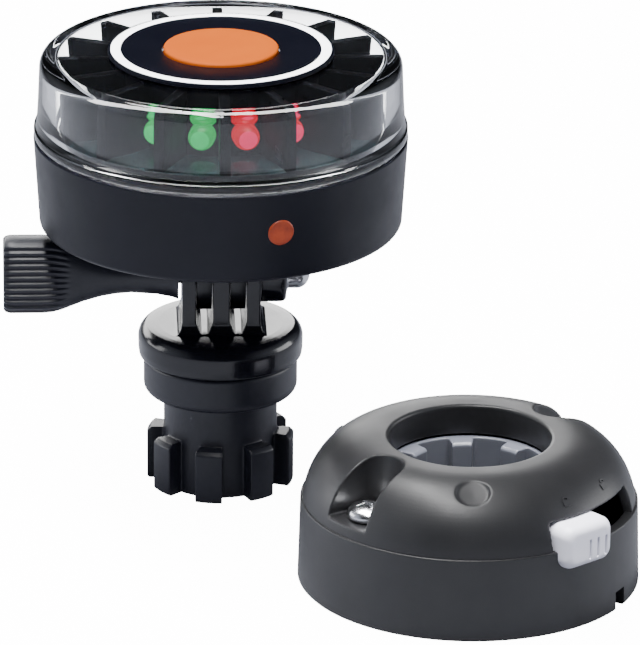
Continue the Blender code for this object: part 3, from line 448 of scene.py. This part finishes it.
def make_world():
    """White surround to look at, and a dim one with bright sides to be lit by."""
    world = bpy.data.worlds.new("studio")
    world.use_nodes = True
    tree = world.node_tree
    lit = tree.nodes["Background"]
    where = tree.nodes.new("ShaderNodeTexCoord")
    split = tree.nodes.new("ShaderNodeSeparateXYZ")
    ramp = tree.nodes.new("ShaderNodeMapRange")
    tree.links.new(where.outputs["Generated"], split.inputs["Vector"])
    aside = tree.nodes.new("ShaderNodeMath")
    aside.operation = "ABSOLUTE"
    tree.links.new(split.outputs["X"], aside.inputs[0])
    tree.links.new(aside.outputs["Value"], ramp.inputs["Value"])
    ramp.inputs["From Min"].default_value = 0.55
    ramp.inputs["From Max"].default_value = 0.95
    ramp.inputs["To Min"].default_value = 0.03
    ramp.inputs["To Max"].default_value = 0.8
    tree.links.new(ramp.outputs["Result"], lit.inputs["Strength"])
    lit.inputs["Color"].default_value = (0.82, 0.88, 1.0, 1.0)
    seen = tree.nodes.new("ShaderNodeBackground")
    seen.inputs["Color"].default_value = (1.0, 1.0, 1.0, 1.0)
    seen.inputs["Strength"].default_value = 15.0
    show_white(tree, lit, seen, tree.nodes["World Output"])
    bpy.context.scene.world = world


def show_white(tree, lit, seen, output):
    """Use one shader for what is looked at directly or through the clear cap, and one for light."""
    path = tree.nodes.new("ShaderNodeLightPath")

    def maths(operation, first, second):
        node = tree.nodes.new("ShaderNodeMath")
        node.operation = operation
        node.use_clamp = True
        tree.links.new(first, node.inputs[0])
        tree.links.new(second, node.inputs[1])
        return node.outputs["Value"]

    straight = maths("MAXIMUM", path.outputs["Is Camera Ray"], path.outputs["Is Transmission Ray"])
    bounced = maths("ADD", path.outputs["Diffuse Depth"], path.outputs["Glossy Depth"])
    mix = tree.nodes.new("ShaderNodeMixShader")
    tree.links.new(maths("SUBTRACT", straight, bounced), mix.inputs["Fac"])
    tree.links.new(lit.outputs[0], mix.inputs[1])
    tree.links.new(seen.outputs[0], mix.inputs[2])
    tree.links.new(mix.outputs["Shader"], output.inputs["Surface"])


def make_floor():
    """Pale floor."""
    shape = bmesh.new()
    bmesh.ops.create_grid(shape, x_segments=2, y_segments=2, size=4.0)
    data = bpy.data.meshes.new("floor")
    shape.to_mesh(data)
    shape.free()
    floor = bpy.data.objects.new("floor", data)
    bpy.context.scene.collection.objects.link(floor)
    finish = Finish("floor_white", (198, 201, 212), 0.9)
    tree = finish.tree
    glow = tree.nodes.new("ShaderNodeEmission")
    glow.inputs["Strength"].default_value = 14.0
    pale = tree.nodes.new("ShaderNodeBsdfDiffuse")
    pale.inputs["Color"].default_value = (0.9, 0.9, 0.9, 1.0)
    both = tree.nodes.new("ShaderNodeAddShader")
    tree.links.new(glow.outputs[0], both.inputs[0])
    tree.links.new(pale.outputs[0], both.inputs[1])
    show_white(tree, finish.shader, both, tree.nodes["Material Output"])
    data.materials.append(finish.material)


def make_studio():
    """Softboxes above, behind and at both sides."""
    middle = (-0.03, 0.02, 0.05)
    make_world()
    make_floor()
    area_light("overhead", (-0.20, -0.02, 0.95), middle, (1.2, 0.11), 44.0)
    area_light("fill", (-0.05, 0.0, 0.85), middle, (1.0, 0.45), 34.0)
    area_light("cap_band", (-0.05, 0.02, 0.70), (-0.05, 0.02, 0.1), (3.6, 0.27), 38.0)
    area_light("back", (-0.50, 1.10, 0.42), middle, (1.3, 0.40), 8.0)
    area_light("left_side", (-1.0, 0.25, 0.24), middle, (0.6, 0.4), 4.0)
    area_light("right_side", (1.0, 0.25, 0.24), middle, (0.6, 0.4), 6.0)


def light_only(lamp, pieces):
    """Let one lamp reach only some pieces: the set's two halves are lit differently."""
    chosen = bpy.data.collections.new(f"{lamp}_lights")
    for piece in pieces:
        chosen.objects.link(piece)
    bpy.data.objects[lamp].light_linking.receiver_collection = chosen


# ---- Lamp top and housing -----------------------------------------------------------------------------
def make_lens(made):
    """Thick clear cap with a rounded shoulder and a foot flange."""
    wide, low, top = extent("lens", LIGHT)
    flange = low + 5.3
    wall = wide - 0.95
    hole = 13.7
    shoulder = arc(wall - 3.35, top - 3.0, 3.0, 4.0, 90.0, 12)
    profile = [(36.0, low), (38.2, low), (38.2, flange), (wide - 0.3, flange)]
    profile += arc(wide - 0.3, flange + 0.3, 0.3, -70.0, 0.0, 4)
    profile += arc(wide - 0.5, flange + 1.6, 0.5, 0.0, 75.0, 5)
    profile += [(wide - 0.6, flange + 2.5), (wall, 92.0)] + shoulder
    profile += [(hole + 0.2, top), (hole, top - 0.2), (hole, top - 1.7), (36.4, top - 1.7)]
    profile += arc(36.4, top - 2.8, 1.1, 90.0, 0.0, 6)[1:] + [(37.5, flange + 1.0), (36.0, flange + 1.0)]
    lens = lathe("lens_cap", profile, 192)
    dress(lens, made["clear"], "lamp_top", "clear_plastic", LIGHT, "lens")


def make_housing(made):
    """Black cup with softened edges."""
    wide, low, top = extent("housing", LIGHT)
    profile = [(0.0, low), (39.4, low)] + arc(39.7, low + 1.5, 1.5, -78.0, -8.0, 7)
    profile += [(wide - 0.03, top - 0.5)] + arc(wide - 0.4, top - 0.4, 0.4, 0.0, 90.0, 4)
    profile += [(39.9, top), (39.9, low + 3.4), (0.0, low + 3.4)]
    housing = lathe("housing_cup", profile, 192)
    dress(housing, made["cup"], "light_head", "matte_black", LIGHT, "housing")


def make_hub(made):
    """Hub disc with its let-in white ring and the domed orange button."""
    wide, low, top = extent("hub_cap", LIGHT)
    inner, outer = 22.6, 24.95
    profile = [(13.35, low), (wide, low), (wide, top - 0.25), (wide - 0.1, top - 0.05),
               (wide - 0.3, top), (outer, top), (outer, top - 0.4), (inner, top - 0.4), (inner, top),
               (13.7, top), (13.4, top - 0.15), (13.35, top - 0.35)]
    hub = lathe("hub_disc", profile)
    dress(hub, made["disc"], "lamp_top", "gloss_black", LIGHT, "hub_cap")
    ring = [(inner + 0.05, top - 0.35), (outer - 0.05, top - 0.35), (outer - 0.05, top - 0.02),
            (outer - 0.2, top + 0.05), (inner + 0.2, top + 0.05), (inner + 0.05, top - 0.02)]
    dress(lathe("hub_ring", ring), made["white"], "lamp_top", "trim_white", LIGHT, "hub_trim")
    wide, low, top = extent("push_button", LIGHT)
    crown = [(wide, low + 0.9), (wide, top - 0.75)] + arc(wide - 0.6, top - 0.75, 0.6, 15.0, 75.0, 4)
    crown += [(wide - 2.0, top - 0.06), (wide - 5.0, top - 0.01), (0.0, top)]
    profile = [(0.0, low), (3.0, low), (3.0, low + 0.9)] + crown
    button = lathe("orange_button", profile)
    dress(button, made["orange"], "button", "button_orange", LIGHT, "push_button")


def make_fins(made):
    """Black star with softened fin edges."""
    wide, low, top = extent("fin_ring", LIGHT)
    floor = low + 1.4
    profile = [(wide, low), (wide, floor), (24.0, floor), (24.0, top), (22.0, top), (22.0, 94.7),
               (17.5, 94.7), (17.5, 92.9), (22.0, 92.9), (22.0, low)]
    ring = lathe("fin_star", profile, 128)
    fins = []
    reach = wide - 0.2
    for index in range(BAYS):
        fin = prism("fin", [(23.3, -1.15), (reach, -1.15), (reach, 1.15), (23.3, 1.15)],
                    floor - 0.6, top - 0.1)
        fins.append(turned(fin, math.radians(-90.0 + 360.0 * index / BAYS)))
    combine(ring, [group(fins)], "UNION")
    round_edges(ring, 0.18)
    dress(ring, made["fin"], "lamp_top", "matte_black", LIGHT, "fin_ring")
    # the upward floor faces between the fins take the teal-grey of a painted reflection
    ring.data.materials.append(made["plate"].material)
    for face in ring.data.polygons:
        if face.normal.z > 0.9 and face.center.z < (floor + 0.3) * MM:
            face.material_index = 1


def make_leds(made):
    """Round epoxy LEDs with a domed end that glows paler at its tip."""
    slots = {row["node"]: row["material_slot"] for row in frame["record"]["subparts"]}
    for index in range(BAYS):
        node = f"led_{index + 1:02d}"
        slot = slots[node]
        low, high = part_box(node)
        middle = LIGHT.inverted() @ (0.5 * (low + high))
        turn = math.atan2(middle.y, middle.x)
        dome = arc(LED_LENGTH - 2.9, 0.0, 2.9, 90.0, 0.0, 10)
        profile = [(0.0, 0.0), (2.7, 0.0), (2.9, 0.2)] + [(r, x) for x, r in dome]
        led = lathe(f"glow_{node}", profile, 28)
        lie = Matrix.Rotation(math.radians(90.0), 4, "Y")
        place = Matrix.Rotation(turn, 4, "Z") @ Matrix.Translation((LED_START * MM, 0.0, middle.z)) @ lie
        dress(led, made[slot], "lamp_top", slot, LIGHT @ place, node)
        core = made.get(f"{slot}_core")
        if core:
            led.data.materials.append(core.material)
            tip = LIGHT @ place @ Vector((0.0, 0.0, LED_LENGTH * MM))
            for face in led.data.polygons:
                if (face.center - tip).length < LED_CORE * MM:
                    face.material_index = 1


# ---- Fork, bracket, knob and nut ----------------------------------------------------------------------
def fingers(name, spans, top, radius, grow):
    """Upright plates about the tilt axis, rounded below."""
    plates = []
    for low, high in spans:
        outline = arc(0.0, AXIS_Z, radius, 180.0, 360.0, 32) + [(radius, top), (-radius, top)]
        plates.append(prism_x(name, outline, low - grow, high + grow))
    return plates


def make_bracket(made):
    """Plate under the housing with its two fingers."""
    wide, low, top = extent("tilt_bracket", LIGHT)
    under = 60.2
    plate = [(0.0, under), (wide - 0.6, under), (wide, under + 0.6), (wide, top), (0.0, top)]
    bracket = lathe("bracket_plate", plate, 96)
    plates = fingers("finger", [(-5.45, -2.25), (2.25, 5.45)], under + 1.0, 8.4, 0.1)
    combine(bracket, [group(plates)], "UNION")
    bore = skin("bore", [circle_x(-9.0, 2.8, 40), circle_x(9.0, 2.8, 40)])
    combine(bracket, [bore], "DIFFERENCE")
    round_edges(bracket, 0.25)
    dress(bracket, made["satin"], "light_head", "gloss_black", LIGHT, "tilt_bracket")


def make_fork(made):
    """Glossy cap with three fingers and the nut boss."""
    wide, low, _ = extent("fork_cap", LIGHT)
    top = low + 7.6
    shoulder = arc(wide - 3.4, top - 3.2, 3.4, 0.0, 62.0, 10)
    shoulder = [(r, z) for r, z in shoulder] + [(wide - 3.0, top - 0.08), (wide - 4.6, top)]
    profile = [(0.0, top - 1.6), (3.3, top - 1.6), (3.3, low), (wide - 0.9, low)]
    profile += arc(wide - 0.9, low + 0.7, 0.7, -80.0, -15.0, 5) + [(wide - 0.05, low + 1.8)]
    profile += shoulder + [(0.0, top)]
    cap = lathe("fork_cap_body", profile, 128)
    root = 41.3
    right = [(1.9, 62.0), (1.9, root), (3.0, top + 0.2), (4.7, top + 0.2), (5.8, root), (5.8, 62.0),
             (8.9, 62.0), (8.9, root), (9.3, top + 1.1), (9.7, top + 0.4), (10.3, top - 0.1),
             (10.3, top - 0.8)]
    left = [(-x, z) for x, z in right[::-1]]
    comb = prism_y("comb", left + right, -9.5, 9.5)
    side = [(-9.3, top - 1.3), (9.3, top - 1.3), (9.3, top), (8.9, top + 0.6), (8.5, root - 0.8)]
    side += arc(0.0, AXIS_Z, 8.4, 0.0, 180.0, 40)
    side += [(-8.5, root - 0.8), (-8.9, top + 0.6), (-9.3, top)]
    combine(comb, [prism_x("side", side, -13.0, 13.0)], "INTERSECT")
    boss = skin("boss", [circle_x(8.3, 6.8, 64), circle_x(13.9, 6.8, 64), circle_x(14.4, 6.6, 64),
                         circle_x(14.9, 6.1, 64)])
    combine(cap, [comb, boss], "UNION")
    bore = skin("bore", [circle_x(-14.0, 2.8, 40), circle_x(18.0, 2.8, 40)])
    pocket = skin("pocket", [circle_x(11.2, 5.0, 6), circle_x(18.0, 5.0, 6)])
    combine(cap, [bore, pocket], "DIFFERENCE")
    soften(cap, 0.2, 3, 0.35)
    dress(cap, made["gloss"], "adaptor", "gloss_black", LIGHT, "fork_cap")


def make_spigot(made):
    """Star-footed spigot with eight moulded teeth."""
    wide, low, top = extent("spigot", LIGHT)
    neck = 13.0
    collar = 22.0
    profile = [(6.5, 0.0), (neck, 0.0), (neck, collar - 0.9), (neck + 0.15, collar - 0.4),
               (neck + 0.5, collar - 0.1), (neck + 1.1, collar)]
    profile += arc(wide - 2.2, collar + 2.2, 2.2, -90.0, 0.0, 10)
    profile += [(wide, top - 0.6), (wide - 0.2, top - 0.2), (wide - 0.6, top), (3.3, top), (3.3, 6.0),
                (6.5, 6.0)]
    spigot = lathe("spigot_body", profile, 128)
    tip = 16.85
    high = 12.5
    tooth = [(neck - 0.6, 0.0), (tip - 0.4, 0.0), (tip, 0.4), (tip, high - 0.9), (tip - 0.9, high),
             (neck - 0.6, high)]
    teeth = []
    for index in range(8):
        start = math.radians(-100.9 + 45.0 * index - 10.9)
        teeth.append(sector("tooth", tooth, start, math.radians(21.8)))
    combine(spigot, [group(teeth)], "UNION")
    soften(spigot, 0.24, 3, 0.4)
    dress(spigot, made["matte"], "adaptor", "matte_black", LIGHT, "spigot")


def make_nut(made):
    """Domed stainless nut along the tilt axis, bored for the steel screw."""
    start, shoulder = 11.5, 15.2
    nut = skin("dome_nut", [circle_x(start, 4.55, 6), circle_x(shoulder, 4.55, 6)])
    rings = [circle_x(shoulder - 0.5, 3.75, 48)]
    for x, radius in arc(17.4, 0.0, 3.75, 90.0, 20.0, 12):
        rings.append(circle_x(17.4 + (x - 17.4) * 0.8, radius, 48))
    combine(nut, [skin("dome", rings)], "UNION")
    combine(nut, [skin("bore", [circle_x(9.0, 2.8, 32), circle_x(18.0, 2.8, 32)])], "DIFFERENCE")
    round_edges(nut, 0.2)
    dress(nut, made["steel"], "adaptor", "steel", LIGHT, "cap_nut")


def knob_ring(x, height, depth, power, ribs):
    """One cross-section of the thumb grip: a rounded slab whose faces carry even ribs."""
    count = 133
    reach = 0.955
    face = []
    for index in range(count):
        share = reach - 2.0 * reach * index / (count - 1)
        side = depth * (1.0 - abs(share) ** power) ** (1.0 / power)
        wave = 0.5 - 0.5 * math.cos(2.0 * math.pi * 11.5 * (share / reach + 1.0) / 2.0)
        face.append((share, side - ribs * wave ** 1.4))
    ring = [(x, 0.0, AXIS_Z + height)]
    ring += [(x, -side, AXIS_Z + height * share) for share, side in face]
    ring += [(x, 0.0, AXIS_Z - height)]
    ring += [(x, side, AXIS_Z + height * share) for share, side in face[::-1]]
    return ring


def make_knob(made):
    """Thumb grip with a round neck and a ribbed paddle."""
    stations = [(-9.7, 6.1, 6.1, 2.0, 0.0), (-11.0, 5.6, 5.6, 2.0, 0.0), (-14.7, 4.9, 4.9, 2.0, 0.0),
                (-20.5, 4.5, 4.5, 2.0, 0.0), (-24.0, 4.8, 4.6, 2.0, 0.0), (-27.2, 5.3, 4.7, 2.2, 0.0),
                (-31.2, 6.4, 4.8, 2.5, 0.0), (-34.0, 7.4, 4.9, 2.9, 0.0), (-36.2, 8.2, 5.0, 3.3, 0.24),
                (-38.2, 8.7, 5.0, 3.6, 0.42), (-40.5, 8.9, 5.0, 3.8, 0.45), (-48.0, 8.9, 5.0, 3.8, 0.45),
                (-49.0, 8.65, 4.75, 3.8, 0.45), (-49.5, 8.1, 4.3, 3.8, 0.35)]
    rings = []
    steps = 4
    for first, second in zip(stations, stations[1:]):
        for step in range(steps):
            share = step / steps
            ease = share * share * (3.0 - 2.0 * share) if first[4] != second[4] else share
            mixed = [a + (b - a) * share for a, b in zip(first, second)]
            mixed[4] = first[4] + (second[4] - first[4]) * ease
            rings.append(knob_ring(*mixed))
    rings.append(knob_ring(*stations[-1]))
    knob = skin("thumb_knob", rings)
    bore = skin("bore", [circle_x(-34.0, 2.8, 32), circle_x(-6.0, 2.8, 32)])
    combine(knob, [bore], "DIFFERENCE")
    knob.data.set_sharp_from_angle(angle=math.radians(60.0))
    dress(knob, made["matte"], "clamp_knob", "matte_black", LIGHT, "knob_grip")


# ---- Deck mount ---------------------------------------------------------------------------------------
def dome_radius(radius, rise):
    """Radius of the cover at a share of its height."""
    flat = max(0.0, 1.0 - rise ** DOME_POWER)
    return CREST + (radius - CREST) * flat ** (1.0 / DOME_POWER)


def dome_points(radius, bottom, top, steps):
    """Points up the rounded side of the cover."""
    points = []
    for index in range(steps + 1):
        rise = math.sin(0.5 * math.pi * index / steps) ** (2.0 / DOME_POWER)
        points.append((dome_radius(radius, min(rise, 1.0)), bottom + (top - bottom) * rise))
    return points


def pocket_outline(grow):
    """Outline of a screw pocket along +X: a round inner end that opens outwards."""
    outer = 6.6 + grow
    return arc(26.2, 0.0, 5.3 + grow, 90.0, 270.0, 24) + [(42.0, -outer), (42.0, outer)]


def make_cover(made):
    """Domed cover with the socket hole, screw pockets, thumb slots and an oval dimple."""
    wide, low, top = extent("base_cover", BASE)
    outer = dome_points(wide, low, top, 26)
    inner = dome_points(wide - 2.3, low, top - 2.3, 14)
    lip = [(18.5, top), (18.15, top - 0.15), (18.0, top - 0.5), (18.0, 26.4), (20.0, 26.4),
           (20.0, top - 2.3)]
    cover = lathe("mount_cover", outer + lip + inner[::-1], 144)
    under, floor = 19.3, 21.4
    blocks = []
    troughs = []
    for angle in (POCKET, POCKET + 180.0):
        blocks.append(turned(prism("block", pocket_outline(1.6), under, 36.0), math.radians(angle)))
        troughs.append(turned(prism("trough", pocket_outline(0.0), floor, 40.0), math.radians(angle)))
    walls = group(blocks)
    envelope = lathe("envelope", [(0.0, low)] + outer + [(0.0, top)], 144)
    combine(walls, [envelope], "INTERSECT")
    combine(cover, [walls], "UNION")
    tools = troughs
    grips = [heading("lever_grip_1"), heading("lever_grip_2")]
    profile = [(30.0, 12.0), (44.0, 12.0), (44.0, 25.2), (30.0, 25.2)]
    for grip in grips:
        tools.append(sector("slot", profile, grip - math.radians(11.9), math.radians(47.0), 24))
    for angle in (POCKET, POCKET + 180.0):
        bore = lathe("bore", [(0.0, 12.0), (2.6, 12.0), (2.6, 21.6), (0.0, 21.6)], 32)
        turn = math.radians(angle)
        tools.append(shifted(bore, SCREW_CIRCLE * math.cos(turn), SCREW_CIRCLE * math.sin(turn), 0.0))
    combine(cover, [group(tools)], "DIFFERENCE")
    dimple = lathe("dimple", [(0.0, -0.5), (3.3, -0.35), (3.8, 0.0), (4.1, 0.8), (4.1, 4.0),
                              (0.0, 4.0)], 48)
    dimple.data.transform(Matrix.Rotation(math.radians(27.0), 4, "X"))
    shifted(dimple, 0.2, -28.6, 31.25)
    combine(cover, [dimple], "DIFFERENCE")
    soften(cover, 0.28, 3, 0.3)
    dress(cover, made["base"], "deck_mount", "base_plastic", BASE, "base_cover")
    return low, top, wide


def make_skirt(made):
    """Lower wall and floor of the mount, with its posts and drain notch."""
    wide, _, top = extent("base_skirt", BASE)
    rim = 37.5
    profile = [(0.0, 0.0), (wide - 0.4, 0.0), (wide, 0.4), (rim, top - 0.35)]
    profile += arc(rim - 0.35, top - 0.35, 0.35, 20.0, 90.0, 4)
    profile += [(35.3, top), (35.3, 4.0), (13.4, 4.0), (13.4, 4.5), (0.0, 4.5)]
    skirt = lathe("mount_skirt", profile, 144)
    posts = []
    bores = []
    for angle in (POCKET, POCKET + 180.0):
        turn = math.radians(angle)
        x, y = SCREW_CIRCLE * math.cos(turn), SCREW_CIRCLE * math.sin(turn)
        post = lathe("post", [(0.0, 3.0), (4.2, 3.0), (4.2, 19.0), (0.0, 19.0)], 40)
        bore = lathe("bore", [(0.0, -2.0), (2.6, -2.0), (2.6, 22.0), (0.0, 22.0)], 32)
        posts.append(shifted(post, x, y, 0.0))
        bores.append(shifted(bore, x, y, 0.0))
    notch = shifted(prism("notch", rectangle(4.0, 2.0), -2.0, 4.4), wide, 0.0, 0.0)
    bores.append(turned(notch, math.radians(-29.0)))
    combine(skirt, [group(posts)], "UNION")
    combine(skirt, [group(bores)], "DIFFERENCE")
    dress(skirt, made["base"], "deck_mount", "base_plastic", BASE, "base_skirt")


def make_star_ring(made):
    """Turning ring with eight rounded inward teeth and two arms."""
    wide, low, top = extent("lock_ring", BASE)
    profile = [(17.4, 4.3), (22.0, 4.3), (22.0, 6.0), (18.9, 6.0), (18.9, top), (17.4, top)]
    ring = lathe("star_ring", profile, 128)
    tooth = [(13.9, 17.2), (18.0, 17.2), (18.0, top - 0.1), (14.5, top - 0.1), (13.9, top - 0.7)]
    parts = []
    for index in range(8):
        start = math.radians(95.5 + 45.0 * index - 9.25)
        parts.append(sector("tooth", tooth, start, math.radians(18.5)))
    combine(ring, [group(parts)], "UNION")
    arms = []
    for node in ("lever_grip_1", "lever_grip_2"):
        arm = prism("arm", [(18.0, -3.0), (32.6, -3.0), (32.6, 3.0), (18.0, 3.0)], 16.2, 20.2)
        arms.append(turned(arm, heading(node)))
    combine(ring, [group(arms)], "UNION")
    soften(ring, 0.25, 3, 0.4)
    # the ring takes the darker grey of painted shade, not the lever's own light grey
    dress(ring, made["ring"], "lock_ring_body", "ring_plastic", BASE, "lock_ring")


def grip_ring(x, shrink, low, high):
    """Rounded rectangle across a thumb grip."""
    corner = 2.6 - 0.5 * shrink
    half_y = 6.9 - shrink - corner
    half_z = 0.5 * (high - low) - shrink - corner
    ring = []
    for side_y, side_z, start in ((1, 1, 0.0), (-1, 1, 90.0), (-1, -1, 180.0), (1, -1, 270.0)):
        corner_arc = arc(side_y * half_y, 0.5 * (low + high) + side_z * half_z, corner, start,
                         start + 90.0, 10)
        ring += [(x, y, z) for y, z in corner_arc]
    return ring


def make_grips(made):
    """Light-grey thumb grips, crowned and with three shallow ribs."""
    for index, node in enumerate(("lever_grip_1", "lever_grip_2")):
        low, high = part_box(node)
        low, high = low.z / MM, high.z / MM
        turn = heading(node)
        outer = 39.9
        stations = [(32.9, 0.0), (37.4, 0.0)]
        stations += [(x, 2.4 - r) for x, r in arc(outer - 2.4, 0.0, 2.4, 80.0, 0.0, 9)]
        grip = skin(f"thumb_grip_{index + 1}", [grip_ring(x, 0.8 * s, low, high) for x, s in stations])
        ribs = []
        for y in (0.0, 2.3, 4.6):
            rib = prism("rib", rectangle(0.7, 0.3), low + 1.6, low + 6.2)
            ribs.append(shifted(rib, outer, y, 0.0))
        combine(grip, [group(ribs)], "DIFFERENCE")
        soften(grip, 0.16, 3, 0.5)
        turned(grip, turn)
        dress(grip, made["lever"], "lock_ring_body", "lever_plastic", BASE, node)


def make_deck_screws(made):
    """Pan-head cross-recess screws."""
    head = 21.7
    profile = [(0.0, 1.0), (0.9, 1.0), (2.2, 4.0), (2.2, head), (4.5, head), (4.7, head + 0.2)]
    profile += [(4.7 * c, head + 0.9 + 2.2 * s) for c, s in arc(0.0, 0.0, 1.0, 0.0, 90.0, 10)]
    for index, angle in enumerate((POCKET, POCKET + 180.0)):
        screw = lathe(f"pan_screw_{index + 1}", profile, 56)
        bars = []
        for half_x, half_y in ((2.7, 0.55), (0.55, 2.7)):
            bars.append(prism("bar", rectangle(half_x, half_y), head + 1.5, head + 4.0))
        combine(screw, bars, "DIFFERENCE")
        round_edges(screw, 0.12)
        turned(screw, math.radians(25.0))
        turn = math.radians(angle)
        shifted(screw, SCREW_CIRCLE * math.cos(turn), SCREW_CIRCLE * math.sin(turn), 0.0)
        dress(screw, made["steel"], "deck_mount", "steel", BASE, f"deck_screw_{index + 1}")


def make_marks(made, low, top, wide):
    """Small raised padlock marks, open and shut, above each thumb slot."""
    height = 28.0
    rise = (height - low) / (top - low)
    radius = dome_radius(wide, rise)
    lean = math.atan2(dome_radius(wide, rise - 0.02) - dome_radius(wide, rise + 0.02), 0.04 * (top - low))
    for side in (0, 1):
        grip = heading(f"lever_grip_{side + 1}")
        for mark, (offset, lift) in enumerate(((-2.0, 0.0), (20.5, 0.45))):
            half = 0.95
            outline = rectangle(half, 0.7)
            body = prism("body", outline, -0.3, 0.16)
            hoop = arc(0.0, 0.0, 0.72, 0.0, 180.0, 12) + arc(0.0, 0.0, 0.42, 180.0, 0.0, 12)
            shackle = shifted(prism("hoop", hoop, -0.3, 0.16), lift, 0.75 + 0.4 * lift, 0.0)
            piece = group([body, shackle])
            piece.name = f"lock_mark_{2 * side + mark + 1}"
            upright = Matrix.Rotation(math.radians(90.0) - lean, 4, "X")
            face = Matrix.Rotation(grip + math.radians(offset + 90.0), 4, "Z")
            out = Matrix.Translation((0.0, -radius * MM, height * MM))
            piece.data.transform(face @ out @ upright)
            dress(piece, made["base"], "deck_mount", "base_plastic", BASE)


def share_lamps():
    """Give each linked lamp its pieces."""
    solid = [piece for piece in bpy.data.objects if piece.type == "MESH" and piece.name != "floor"]
    light_only("cap_band", [piece for piece in solid if piece.name == "lens_cap"])
    light_only("fill", [piece for piece in solid if piece.name.startswith(FILLED)])
    for lamp in ("back", "left_side", "right_side"):
        light_only(lamp, [piece for piece in solid
                          if piece.name not in DIM_SIDED and "led" not in piece.name])


# ---- Everything ---------------------------------------------------------------------------------------
make_camera()
make_studio()
materials = make_materials()
paint(materials["matte"], "battery_tray", "tact_switch")
paint(materials["inlay"], "housing_inlay")
paint(materials["rubber"], "lens_seal")
paint(materials["board"], "led_board")
paint(materials["cell"], "battery_cell_1", "battery_cell_2", "battery_cell_3")
paint(materials["contact"], "contact_left", "contact_right")
paint(materials["steel"], "spigot_screw", "clamp_screw", "bracket_screw_1", "bracket_screw_2",
      "board_screw_1", "board_screw_2")
make_lens(materials)
make_housing(materials)
make_hub(materials)
make_fins(materials)
make_leds(materials)
make_bracket(materials)
make_fork(materials)
make_spigot(materials)
make_nut(materials)
make_knob(materials)
cover_low, cover_top, cover_wide = make_cover(materials)
make_skirt(materials)
make_star_ring(materials)
make_grips(materials)
make_deck_screws(materials)
make_marks(materials, cover_low, cover_top, cover_wide)

share_lamps()
